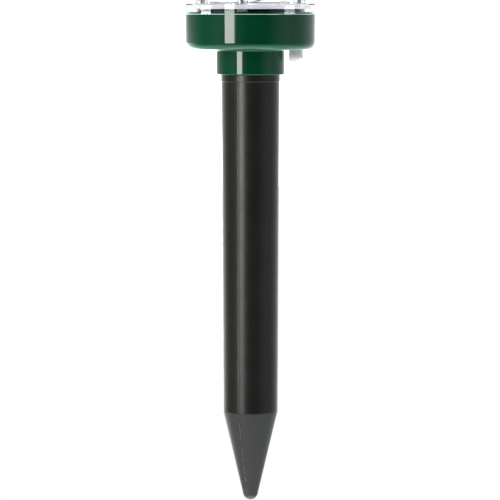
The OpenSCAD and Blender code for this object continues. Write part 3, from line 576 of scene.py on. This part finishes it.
def buildScrews():
    s = screw
    seat, foot = cover["seat"], cover["seat"] - s["length"]
    crown = arcPoints((0, seat + s["headHeight"] - s["crownRadius"]), s["crownRadius"], 56, 90, 8)
    crown[-1] = (0.0, crown[-1][1])
    shank = []
    for k in range(s["turns"]):
        z = foot + 0.8 + k * s["pitch"]
        shank += [(s["shankRadius"] - s["thread"] - 0.05, z), (s["shankRadius"] - 0.03, z + s["crest"])]
    outline = [(0, foot), (0.7, foot)] + shank + [(s["shankRadius"] - 0.03, seat)]
    outline += [(s["headRadius"] - 0.15, seat), (s["headRadius"], seat + 0.2), (s["headRadius"], seat + 0.9)]
    outline += [(s["headRadius"] - 0.15, seat + 1.25)] + crown
    first = turnedShell("cover_screw", outline, 48)
    for spin in (20, 110):
        recess = squareBar(s["recess"], seat + s["recessFoot"], seat + 4, (0, 0), spin)
        combine(first, recess, "DIFFERENCE")
    bevelEdges(first, 0.05, 2, 50)
    smoothShade(first, 35)
    copies = []
    for number, (x, y) in enumerate(aroundScrews(dish["bossRing"])):
        bpy.ops.object.select_all(action="DESELECT")
        first.select_set(True)
        bpy.context.view_layer.objects.active = first
        bpy.ops.object.duplicate(linked=False)
        copy = bpy.context.object
        copy.rotation_euler = (0, 0, radians(37 * number))
        copy.location = (x * mm, y * mm, 0)
        settle(copy)
        copies.append(copy)
    bpy.data.objects.remove(first, do_unlink=True)
    screws = joined(copies, "cover_screw_set")
    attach(screws, "head")
    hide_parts("cover_screws")
    return screws


coverScrews = buildScrews()
print("screws", len(coverScrews.data.polygons), "faces")

# silver bezel with the solar panel's recess

bezel = {"radius": 47.0, "thickness": 1.5, "skirt": 3.4, "recess": 54.3, "recessDepth": 0.7, "edge": 0.35,
         "boss": 4, "hole": 1.65, "leadSlot": (6, 4), "leadSlotAt": (-20, 0)}


def buildBezel():
    b = bezel
    top, under, foot = bezelTopZ, bezelTopZ - b["thickness"], bezelTopZ - b["skirt"]
    inner = b["radius"] - b["thickness"]
    outer = b["radius"]
    outline = rounded([(0, under), (inner, under), (inner, foot), (outer, foot), (outer, top), (0, top)],
                      [0, 0.2, 0.15, 0.2, b["edge"], 0], 5)
    plate = turnedShell("silver_bezel", outline, 192)
    around = aroundScrews(dish["bossRing"])
    combine(plate, joined([roundBar(b["boss"], lipZ, top - 0.5, at, 48) for at in around]), "UNION")
    combine(plate, squareBar((b["recess"], b["recess"]), top - b["recessDepth"], top + 1), "DIFFERENCE")
    combine(plate, joined([roundBar(b["hole"], lipZ - 1, top + 1, at, 32) for at in around]), "DIFFERENCE")
    combine(plate, squareBar(b["leadSlot"], under - 1, top + 1, b["leadSlotAt"]), "DIFFERENCE")
    smoothShade(plate, 30)
    weightNormals(plate)
    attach(plate, "head")
    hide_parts("bezel_plate")
    return plate


silverBezel = buildBezel()
print("bezel", len(silverBezel.data.polygons), "faces")

# solar panel: cells with busbars, which lie under the frame's clear resin

panel = {"width": 54.0, "margin": 1.0, "rows": 4, "gap": 0.8, "busbar": 0.9, "busbarHeight": 0.06}


def buildPanel():
    p = panel
    cellLow, cellHigh = footOf("solar_cells"), topOf("solar_cells")
    wide = p["width"] - 2 * p["margin"]
    pitch = wide / p["rows"]
    size = (pitch - p["gap"], wide / 2 - p["gap"])
    cells, bars = [], []
    for i in range(p["rows"]):
        for j in (-0.5, 0.5):
            at = ((i - (p["rows"] - 1) / 2) * pitch, j * wide / 2)
            cell = squareBar(size, cellLow, cellHigh - p["busbarHeight"], at)
            bevelEdges(cell, 0.05, 1)
            cells.append(cell)
            bars.append(squareBar((p["busbar"], size[1] - 1.2), cellHigh - p["busbarHeight"], cellHigh, at))
    cellSet = joined(cells, "silicon_cells")
    barSet = joined(bars, "cell_busbars")
    for piece in (cellSet, barSet):
        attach(piece, "head")
        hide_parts("solar_cells")
    return cellSet, barSet


siliconCells, cellBusbars = buildPanel()
print("panel", len(siliconCells.data.polygons) + len(cellBusbars.data.polygons), "faces")

# stake tube with its ring, neck and parting line

tube = {"topRadius": 22.3, "endRadius": 21.2, "wall": 2.0, "ringRadius": 22.65, "ringHeight": 5.3,
        "neckRadius": 20.8, "neckTop": 20.5, "sealLow": 16.7, "sealHigh": 18.3, "sealRadius": 19.6,
        "lugRadius": 22.4, "lugLow": 10.5, "lugHigh": 13.5, "lugHalf": 9, "boreTaper": 12,
        "partingAngle": -106.5, "partingRadius": 0.6, "partingStand": 0.2}


def tubeRadius(z): return tube["topRadius"] + (tube["topRadius"] - tube["endRadius"]) * z / -tubeEndZ


def ridge(angle, fromRadius, fromZ, toRadius, toZ, thickness, sides=8, cuts=0, wobble=0.0):
    # a thin bar laid along the surface, at an angle round the axis
    length = sqrt((toRadius - fromRadius) ** 2 + (toZ - fromZ) ** 2)
    bpy.ops.object.select_all(action="DESELECT")
    bpy.ops.mesh.primitive_cylinder_add(vertices=sides, radius=thickness * mm, depth=length * mm)
    bar = bpy.context.object
    if cuts:
        bpy.ops.object.mode_set(mode="EDIT")
        bpy.ops.mesh.select_mode(type="EDGE")
        bpy.ops.mesh.select_all(action="DESELECT")
        bpy.ops.object.mode_set(mode="OBJECT")
        for edge in bar.data.edges:
            low, high = (bar.data.vertices[v].co.z for v in edge.vertices)
            edge.select = abs(low - high) > 1e-4
        bpy.ops.object.mode_set(mode="EDIT")
        bpy.ops.mesh.subdivide(number_cuts=cuts)
        bpy.ops.mesh.select_mode(type="VERT")
        bpy.ops.mesh.select_all(action="SELECT")
        bpy.ops.transform.vertex_random(offset=wobble * mm, uniform=0.7, normal=0.3, seed=7)
        bpy.ops.object.mode_set(mode="OBJECT")
    lean = atan2(toRadius - fromRadius, toZ - fromZ)
    middle = ((fromRadius + toRadius) / 2, (fromZ + toZ) / 2)
    bar.rotation_euler = (0, lean, radians(angle))
    out, bearing = middle[0], radians(angle)
    bar.location = (out * cos(bearing) * mm, out * sin(bearing) * mm, middle[1] * mm)
    settle(bar)
    return bar


def buildTube():
    t = tube
    end = tubeEndZ
    boreEnd, boreTop = tubeRadius(end) - t["wall"], tubeRadius(0) - t["wall"]
    neckBore = t["neckRadius"] - t["wall"]
    ring, ringZ, neck, seal = t["ringRadius"], t["ringHeight"], t["neckRadius"], t["sealRadius"]
    outline = [(boreEnd, end), (t["endRadius"], end), (t["topRadius"], 0), (ring, 0.3), (ring, ringZ),
               (neck, ringZ), (neck, t["sealLow"]), (seal, t["sealLow"]), (seal, t["sealHigh"]),
               (neck, t["sealHigh"]), (neck, t["neckTop"]), (neckBore, t["neckTop"]), (neckBore, ringZ),
               (boreTop, 0), (boreEnd, end + t["boreTaper"])]
    radii = [0, 0.15, 0.25, 0.12, 0.25, 0.1, 0, 0, 0, 0, 0.6, 0.2, 0, 0, 0]
    shell = turnedShell("stake_shell", rounded(outline, radii, 5), 192, closed=True)
    half = t["lugHalf"]
    for bearing in (0, 120, 240):
        lug = ringSector(neck - 0.5, t["lugRadius"], t["lugLow"], t["lugHigh"],
                         bearing - half, bearing + half)
        combine(shell, lug, "UNION")
    smoothShade(shell, 28)
    weightNormals(shell)
    sunk = t["partingRadius"] - t["partingStand"]
    lines = []
    for angle in (t["partingAngle"], t["partingAngle"] + 180):
        thick = t["partingRadius"]
        lines.append(ridge(angle, t["endRadius"] - sunk, end + 0.3, t["topRadius"] - sunk, -0.2, thick, 24))
        lines.append(ridge(angle, ring - sunk, 0.35, ring - sunk, ringZ - 0.15, thick, 24))
    seam = joined(lines, "stake_parting_lines")
    smoothShade(seam, 40)
    for piece in (shell, seam):
        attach(piece, "stake")
        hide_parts("stake_tube")
    return shell, seam


stakeShell, partingLines = buildTube()
print("tube", len(stakeShell.data.polygons), "faces")

# pointed spike

spike = {"baseRadius": 21.1, "length": -footOf("spike_tip") + tubeEndZ, "tipRadius": 5.8,
         "spigotHeight": 12.0, "spigotWall": 2.4, "wall": 5, "coreRadius": 3, "hollow": 0.62,
         "flash": 0.24, "flashRagged": 0.17, "flashCuts": 90}


def buildSpike():
    s = spike
    end = tubeEndZ
    ballZ = end - s["length"] + s["tipRadius"]
    base, ball = s["baseRadius"], s["tipRadius"]
    reach = sqrt(base ** 2 + (end - ballZ) ** 2)
    lean = atan(base / (end - ballZ)) - atan2(ball, sqrt(reach ** 2 - ball ** 2))
    point = arcPoints((0, ballZ), ball, -90, -degrees(lean), 16)
    point[0] = (0.0, point[0][1])
    spigot = tubeRadius(end) - tube["wall"] - 0.02
    bore = spigot - s["spigotWall"]
    spigotZ, hollowZ = end + s["spigotHeight"], end - s["length"] * s["hollow"]
    outline = point + [(base - 0.12, end - 0.5), (base - 0.1, end - 0.12), (base - 0.25, end),
                       (spigot, end), (spigot, spigotZ - 0.3), (spigot - 0.3, spigotZ),
                       (bore, spigotZ), (bore, end + 2), (base - s["wall"], end),
                       (s["coreRadius"], hollowZ), (0, hollowZ)]
    shell = turnedShell("pointed_spike", outline, 192)
    smoothShade(shell, 28)
    weightNormals(shell)
    touch = point[-1]
    flashes = []
    for angle in (tube["partingAngle"], tube["partingAngle"] + 180):
        flashes.append(ridge(angle, touch[0] - 0.02, touch[1], base - 0.14, end - 0.6,
                             s["flash"], 8, s["flashCuts"], s["flashRagged"]))
    seam = joined(flashes, "spike_flash")
    for piece in (shell, seam):
        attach(piece, "stake")
        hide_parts("spike_tip")
    return shell, seam


pointedSpike, spikeFlash = buildSpike()
print("spike", len(pointedSpike.data.polygons), "faces")

# push switch: button inside its rubber boot

boot = {"radius": 5.75, "wall": 0.9, "flangeWidth": 1.3, "flangeThickness": 0.8, "endThickness": 2.4,
        "flatTo": 0.3, "slope": 20.0, "crease": 1.5, "edge": 0.45}
button = {"width": 6, "wall": 1.5, "endThickness": 1.8, "edge": 0.35}


def buildBoot():
    b = boot
    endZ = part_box("switch_boot")[0][2] / mm
    flangeZ = floorZ + dish["floor"]
    topZ, innerZ = flangeZ + b["flangeThickness"], endZ + b["endThickness"]
    outer, inner, flange = b["radius"], b["radius"] - b["wall"], b["radius"] + b["flangeWidth"]
    outline = rounded([(0, endZ), (outer, endZ), (outer, flangeZ), (flange, flangeZ), (flange, topZ),
                       (inner, topZ), (inner, innerZ), (0, innerZ)],
                      [0, 0.05, 0, 0.2, 0.2, 0, 0.5, 0], 5)
    shell = turnedShell("rubber_boot", outline, 96)
    shell.location = (switchX * mm, 0, 0)
    settle(shell)
    # the outer half of the end slopes up, and the crease where it starts is rounded
    bpy.ops.object.mode_set(mode="EDIT")
    bpy.ops.mesh.select_all(action="SELECT")
    lean = radians(b["slope"])
    creaseX = (switchX + b["flatTo"]) * mm
    bpy.ops.mesh.bisect(plane_co=(creaseX, 0, endZ * mm), plane_no=(sin(lean), 0, -cos(lean)),
                        use_fill=True, clear_outer=True)
    bpy.ops.mesh.select_mode(type="EDGE")
    bpy.ops.mesh.select_all(action="DESELECT")
    bpy.ops.object.mode_set(mode="OBJECT")
    near = 0.02 * mm
    for edge in shell.data.edges:
        ends = [shell.data.vertices[v].co for v in edge.vertices]
        edge.select = all(abs(co.x - creaseX) < near and abs(co.z - endZ * mm) < near for co in ends)
    bpy.ops.object.mode_set(mode="EDIT")
    bpy.ops.mesh.bevel(offset=b["crease"] * mm, segments=5, affect="EDGES")
    bpy.ops.mesh.select_mode(type="VERT")
    bpy.ops.mesh.select_all(action="SELECT")
    bpy.ops.mesh.normals_make_consistent(inside=False)
    bpy.ops.object.mode_set(mode="OBJECT")
    bevelEdges(shell, b["edge"], 4, 35)
    smoothShade(shell, 50)
    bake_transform(shell)
    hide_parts("switch_boot")
    return shell


def buildButton():
    b = button
    low, high = footOf("button_cap"), topOf("button_cap")
    cap = squareBar((b["width"], b["width"]), low, high, (switchX, 0))
    bpy.ops.object.mode_set(mode="EDIT")
    bpy.ops.mesh.select_all(action="DESELECT")
    bpy.ops.object.mode_set(mode="OBJECT")
    for face in cap.data.polygons:
        face.select = face.normal.z > 0.9
    bpy.ops.object.mode_set(mode="EDIT")
    bpy.ops.mesh.select_mode(type="FACE")
    bpy.ops.mesh.inset(thickness=b["wall"] * mm)
    depth = (high - low - b["endThickness"]) * mm
    bpy.ops.mesh.extrude_region_move(TRANSFORM_OT_translate={"value": (0, 0, -depth)})
    bpy.ops.object.mode_set(mode="OBJECT")
    bevelEdges(cap, b["edge"], 3, 40)
    smoothShade(cap, 35)
    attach(cap, "switch_button")
    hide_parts("button_cap")
    return cap


rubberBoot = buildBoot()
squareButton = buildButton()
print("switch", len(rubberBoot.data.polygons) + len(squareButton.data.polygons), "faces")

# finishes


def newFinish(name, settings=None):
    finish = bpy.data.materials.new(name)
    finish.use_nodes = True
    shader = finish.node_tree.nodes["Principled BSDF"]
    for label, value in (settings or {}).items():
        shader.inputs[label].default_value = value
    return finish, finish.node_tree, shader


def objectPattern(tree, kind, scale, stretch=(1, 1, 1), **settings):
    # a noise or cell pattern in the piece's own metres
    place = tree.nodes.new("ShaderNodeTexCoord")
    mapping = tree.nodes.new("ShaderNodeMapping")
    mapping.inputs["Scale"].default_value = stretch
    tree.links.new(place.outputs["Object"], mapping.inputs["Vector"])
    pattern = tree.nodes.new(kind)
    tree.links.new(mapping.outputs["Vector"], pattern.inputs["Vector"])
    pattern.inputs["Scale"].default_value = scale
    for label, value in settings.items():
        pattern.inputs[label].default_value = value
    return pattern


def noise(tree, scale, detail, **more):
    return objectPattern(tree, "ShaderNodeTexNoise", scale, Detail=detail, **more).outputs[0]


def cellular(tree, scale):
    return objectPattern(tree, "ShaderNodeTexVoronoi", scale).outputs["Distance"]


def spread(tree, value, low, high, fromLow=0.3, fromHigh=0.7):
    node = tree.nodes.new("ShaderNodeMapRange")
    tree.links.new(value, node.inputs["Value"])
    node.inputs["From Min"].default_value = fromLow
    node.inputs["From Max"].default_value = fromHigh
    node.inputs["To Min"].default_value = low
    node.inputs["To Max"].default_value = high
    return node.outputs["Result"]


def unevenGloss(tree, shader, value, low, high, fromLow=0.3, fromHigh=0.7):
    tree.links.new(spread(tree, value, low, high, fromLow, fromHigh), shader.inputs["Roughness"])


def shade(colour, times, plus=0.0):
    return tuple(min(1.0, c * times + plus) for c in colour)


def twoTone(tree, shader, value, dark, light, fromLow=0.3, fromHigh=0.7):
    mix = tree.nodes.new("ShaderNodeMix")
    mix.data_type = "RGBA"
    tree.links.new(spread(tree, value, 0, 1, fromLow, fromHigh), mix.inputs["Factor"])
    mix.inputs["A"].default_value = (*dark, 1)
    mix.inputs["B"].default_value = (*light, 1)
    tree.links.new(mix.outputs["Result"], shader.inputs["Base Color"])


def addBump(tree, shader, heights):
    # heights are (pattern output, depth in millimetres), laid over each other
    normal = None
    for value, depth in heights:
        bump = tree.nodes.new("ShaderNodeBump")
        bump.inputs["Strength"].default_value = 1.0
        bump.inputs["Distance"].default_value = depth * mm
        tree.links.new(value, bump.inputs["Height"])
        if normal is not None:
            tree.links.new(normal, bump.inputs["Normal"])
        normal = bump.outputs["Normal"]
    tree.links.new(normal, shader.inputs["Normal"])


def mouldedPlastic(name, colour, roughness, grain=0.004, grainScale=900, vary=0.12, waves=0.0, level=0.5,
                   smear=0.04):
    # moulded plastic: slow colour drift, uneven gloss, fine grain and faint long waves
    finish, tree, shader = newFinish(name, {"IOR": 1.5, "Specular IOR Level": level})
    drift = noise(tree, 38, 3.0)
    twoTone(tree, shader, drift, shade(colour, 1 - vary), shade(colour, 1 + vary))
    gloss = noise(tree, 160, 4.0)
    unevenGloss(tree, shader, gloss, max(0.0, roughness - smear), roughness + smear)
    fine = noise(tree, grainScale, 2.0)
    heights = [(fine, grain)]
    if waves:
        slow = noise(tree, 55, 1.0, stretch=(1, 1, 0.35))
        heights.append((slow, waves))
    addBump(tree, shader, heights)
    return finish


def texturedPlastic(name, colour, roughness, grain=0.03, grainScale=1400, speck=0.25, level=0.5):
    # spark-eroded texture: small pits in two sizes, with lighter worn specks
    finish, tree, shader = newFinish(name, {"IOR": 1.5, "Specular IOR Level": level})
    pits = cellular(tree, grainScale)
    cloud = noise(tree, grainScale * 0.4, 5.0, Roughness=0.7)
    patch = noise(tree, 60, 4.0)
    patches = linkMath(tree, "MULTIPLY", patch, 0.4)
    specks = linkMath(tree, "MULTIPLY_ADD", cloud, 0.6, patches)
    twoTone(tree, shader, specks, shade(colour, 1 - speck), shade(colour, 1 + speck), 0.35, 0.65)
    unevenGloss(tree, shader, cloud, roughness - 0.08, roughness + 0.1)
    addBump(tree, shader, [(pits, grain), (cloud, grain * 1.5)])
    return finish


def softRubber(name, colour, roughness=0.6, alpha=1.0):
    # rubber or silicone: dull, with a slight bloom in patches
    finish, tree, shader = newFinish(name, {"IOR": 1.42, "Alpha": alpha})
    bloom = noise(tree, 420, 4.0)
    twoTone(tree, shader, bloom, shade(colour, 0.9), shade(colour, 1.1, 0.004))
    unevenGloss(tree, shader, bloom, roughness - 0.08, roughness + 0.1)
    fine = noise(tree, 1800, 2.0)
    addBump(tree, shader, [(fine, 0.01)])
    return finish


def worksMetal(name, colour, roughness=0.3, stretch=(1, 1, 1), grain=0.004, scale=700):
    # plated or drawn metal: fine lines along the stretch, dull spots
    finish, tree, shader = newFinish(name, {"Metallic": 1.0})
    lines = noise(tree, scale, 4.0, stretch=stretch)
    dull = noise(tree, 240, 3.0)
    twoTone(tree, shader, dull, shade(colour, 0.86), shade(colour, 1.08))
    unevenGloss(tree, shader, lines, roughness - 0.1, roughness + 0.12)
    addBump(tree, shader, [(lines, grain)])
    return finish


def clearPlastic(name, tint, roughness=0.015, waves=0.01, ior=1.49):
    # clear acrylic: faint flow waves and a few fine handling marks
    finish, tree, shader = newFinish(name, {"Base Color": (*tint, 1), "Transmission Weight": 1.0,
                                            "IOR": ior})
    marks = noise(tree, 500, 4.0)
    unevenGloss(tree, shader, marks, roughness * 0.3, roughness + 0.03, 0.45, 0.75)
    flow = noise(tree, 45, 1.0)
    addBump(tree, shader, [(flow, waves)])
    return finish


def frostedEdgePaintedHighlight(name, tint):
    # edge of the clear moulding, blasted dull; its pale green-cyan colour is painted, standing for the light
    # that the edge catches and the green of the dish below it
    finish, tree, shader = newFinish(name, {"Transmission Weight": 0.25, "IOR": 1.49})
    blast = noise(tree, 2200, 3.0)
    twoTone(tree, shader, blast, shade(tint, 0.9), tint)
    unevenGloss(tree, shader, blast, 0.4, 0.6)
    addBump(tree, shader, [(blast, 0.02)])
    return finish


def cellFinish(name):
    # blue-black silicon, with printed silver fingers across each cell
    finish, tree, shader = newFinish(name, {"Roughness": 0.24, "Coat Weight": 0.5, "Coat Roughness": 0.08})
    place = tree.nodes.new("ShaderNodeTexCoord")
    axes = tree.nodes.new("ShaderNodeSeparateXYZ")
    tree.links.new(place.outputs["Object"], axes.inputs[0])
    along = linkMath(tree, "MULTIPLY", axes.outputs["Y"], 1 / (1.55 * mm))
    part = linkMath(tree, "FRACT", along)
    fromMiddle = linkMath(tree, "ABSOLUTE", linkMath(tree, "SUBTRACT", part, 0.5))
    finger = linkMath(tree, "LESS_THAN", fromMiddle, 0.04)
    crystal = objectPattern(tree, "ShaderNodeTexVoronoi", 260)
    mixSilicon = tree.nodes.new("ShaderNodeMix")
    mixSilicon.data_type = "RGBA"
    tree.links.new(crystal.outputs["Color"], mixSilicon.inputs["Factor"])
    mixSilicon.inputs["A"].default_value = (0.006, 0.010, 0.040, 1)
    mixSilicon.inputs["B"].default_value = (0.012, 0.024, 0.085, 1)
    mixFinger = tree.nodes.new("ShaderNodeMix")
    mixFinger.data_type = "RGBA"
    tree.links.new(finger, mixFinger.inputs["Factor"])
    tree.links.new(mixSilicon.outputs["Result"], mixFinger.inputs["A"])
    mixFinger.inputs["B"].default_value = (0.32, 0.33, 0.35, 1)
    tree.links.new(mixFinger.outputs["Result"], shader.inputs["Base Color"])
    addBump(tree, shader, [(finger, 0.02)])
    return finish


def circuitBoard(name, mask, traceTone):
    # solder mask with raised tracks underneath it
    finish, tree, shader = newFinish(name, {"Roughness": 0.32, "Coat Weight": 0.3})
    tracks = objectPattern(tree, "ShaderNodeTexVoronoi", 330)
    tracks.distance = "MANHATTAN"
    tracks.feature = "F1"
    weave = noise(tree, 900, 2.0)
    twoTone(tree, shader, tracks.outputs["Distance"], mask, traceTone, 0.42, 0.46)
    addBump(tree, shader, [(tracks.outputs["Distance"], 0.02), (weave, 0.01)])
    return finish


def openFoam(name, colour):
    finish, tree, shader = newFinish(name, {"Sheen Weight": 0.2})
    cells = cellular(tree, 1100)
    # the pores, where the bump sinks the surface, are painted darker: painted shade in the pores
    twoTone(tree, shader, cells, shade(colour, 0.35), colour, 0.1, 0.5)
    unevenGloss(tree, shader, cells, 0.85, 0.98)
    addBump(tree, shader, [(cells, 0.25)])
    return finish


def resinFinish(name):
    finish, tree, shader = newFinish(name, {"Base Color": (0.95, 0.97, 1.0, 1), "Transmission Weight": 1.0,
                                            "IOR": 1.5})
    dimple = cellular(tree, 900)
    unevenGloss(tree, shader, dimple, 0.04, 0.12)
    addBump(tree, shader, [(dimple, 0.03)])
    return finish


def flashFinish(name):
    # torn flash along the mould's parting line: its pale spots on the raised grit are painted glints, over
    # the glinting facets that the bumps give
    finish, tree, shader = newFinish(name)
    grit = cellular(tree, 800)
    twoTone(tree, shader, grit, (0.008, 0.009, 0.008), (0.085, 0.087, 0.085), 0.25, 0.7)
    unevenGloss(tree, shader, grit, 0.16, 0.5)
    addBump(tree, shader, [(grit, 0.12)])
    return finish


# each row: the slot, what makes its finish, and the values for that
finishRows = [
    ("dish_green", mouldedPlastic, (0.0011, 0.038, 0.0165), 0.045, 0.0006, 1500, 0.07, 0.012, 0.55, 0.02),
    ("cover_clear", clearPlastic, (0.965, 0.975, 0.985)),
    ("bezel_silver", mouldedPlastic, (0.66, 0.66, 0.71), 0.34, 0.004, 1600, 0.05),
    ("panel_board", circuitBoard, (0.50, 0.52, 0.55), (0.58, 0.60, 0.62)),
    ("cell_silicon", cellFinish),
    ("panel_resin", resinFinish),
    ("screw_steel", worksMetal, (0.52, 0.53, 0.56), 0.3),
    ("stake_black", mouldedPlastic, (0.0090, 0.0092, 0.0090), 0.3, 0.0015, 1300, 0.12, 0.006, 0.5, 0.03),
    ("spike_grey", texturedPlastic, (0.0165, 0.0172, 0.0168), 0.44, 0.012, 1600, 0.12),
    ("seal_rubber", softRubber, (0.015, 0.015, 0.016)),
    ("gasket_black", softRubber, (0.02, 0.02, 0.022)),
    ("boot_silicone", softRubber, (0.47, 0.47, 0.465), 0.35, 0.5),
    ("button_grey", mouldedPlastic, (0.16, 0.165, 0.165), 0.42, 0.01),
    ("lead_red", mouldedPlastic, (0.35, 0.012, 0.010), 0.38, 0.006),
    ("lead_black", mouldedPlastic, (0.014, 0.014, 0.015), 0.38, 0.006),
    ("board_green", circuitBoard, (0.008, 0.075, 0.025), (0.016, 0.13, 0.045)),
    ("chip_black", texturedPlastic, (0.012, 0.012, 0.013), 0.5, 0.01, 2600, 0.2),
    ("ferrite", texturedPlastic, (0.03, 0.029, 0.028), 0.6, 0.015, 2200, 0.3),
    ("copper_wire", worksMetal, (0.62, 0.24, 0.08), 0.28, (0.1, 0.1, 9), 0.05, 420),
    ("capacitor_sleeve", mouldedPlastic, (0.012, 0.02, 0.11), 0.25, 0.003),
    ("resistor_tan", mouldedPlastic, (0.48, 0.33, 0.17), 0.4, 0.008),
    ("plug_ivory", mouldedPlastic, (0.68, 0.63, 0.5), 0.42, 0.008),
    ("switch_black", mouldedPlastic, (0.02, 0.02, 0.022), 0.4, 0.008),
    ("spring_steel", worksMetal, (0.55, 0.55, 0.57), 0.25),
    ("retainer_black", mouldedPlastic, (0.025, 0.025, 0.026), 0.45, 0.01),
    ("plunger_white", mouldedPlastic, (0.66, 0.66, 0.62), 0.38, 0.006),
    ("cartridge_black", mouldedPlastic, (0.018, 0.018, 0.02), 0.42, 0.012),
    ("cell_sleeve", mouldedPlastic, (0.015, 0.15, 0.04), 0.26, 0.003),
    ("contact_nickel", worksMetal, (0.66, 0.63, 0.56), 0.22, (1, 8, 1)),
    ("foam_grey", openFoam, (0.09, 0.09, 0.092)),
    ("pad_black", openFoam, (0.022, 0.022, 0.023)),
    ("speaker_steel", worksMetal, (0.42, 0.43, 0.45), 0.36, (1, 1, 0.2)),
    ("magnet_grey", worksMetal, (0.36, 0.36, 0.38), 0.3),
    ("surround_rubber", softRubber, (0.018, 0.018, 0.019)),
    ("cone_film", mouldedPlastic, (0.55, 0.55, 0.5), 0.3, 0.004),
]
finishes = {slot: make(slot, *values) for slot, make, *values in finishRows}


def paint(piece, finish):
    piece.data.materials.clear()
    piece.data.materials.append(finish)


# every frame node takes the finish of its own slot, and then each new piece its own
for row in frame["record"]["subparts"]:
    paint(frame["nodes"][row["node"]], finishes[row["material_slot"]])
paint(greenDish, finishes["dish_green"])
clearLens.data.materials[0] = finishes["cover_clear"]
# the cover's lower edge: a painted highlight line in pale green-cyan, with painted green from the dish below
clearLens.data.materials[1] = frostedEdgePaintedHighlight("cover_edge_painted_highlight", (0.46, 0.70, 0.63))
paint(silverBezel, finishes["bezel_silver"])
paint(coverScrews, finishes["screw_steel"])
paint(siliconCells, finishes["cell_silicon"])
paint(cellBusbars, finishes["screw_steel"])
paint(stakeShell, finishes["stake_black"])
# the parting line's ridge is painted much lighter than the black tube: a painted highlight along the ridge
paint(partingLines, mouldedPlastic("parting_line_painted_highlight", (0.060, 0.061, 0.059), 0.3, 0.003, 1300, 0.2))
paint(pointedSpike, finishes["spike_grey"])
# the spike's flash is painted pale in spots: painted glints
paint(spikeFlash, flashFinish("spike_flash_painted_glint"))
paint(rubberBoot, finishes["boot_silicone"])
paint(squareButton, finishes["button_grey"])
print("finishes", len(finishes))
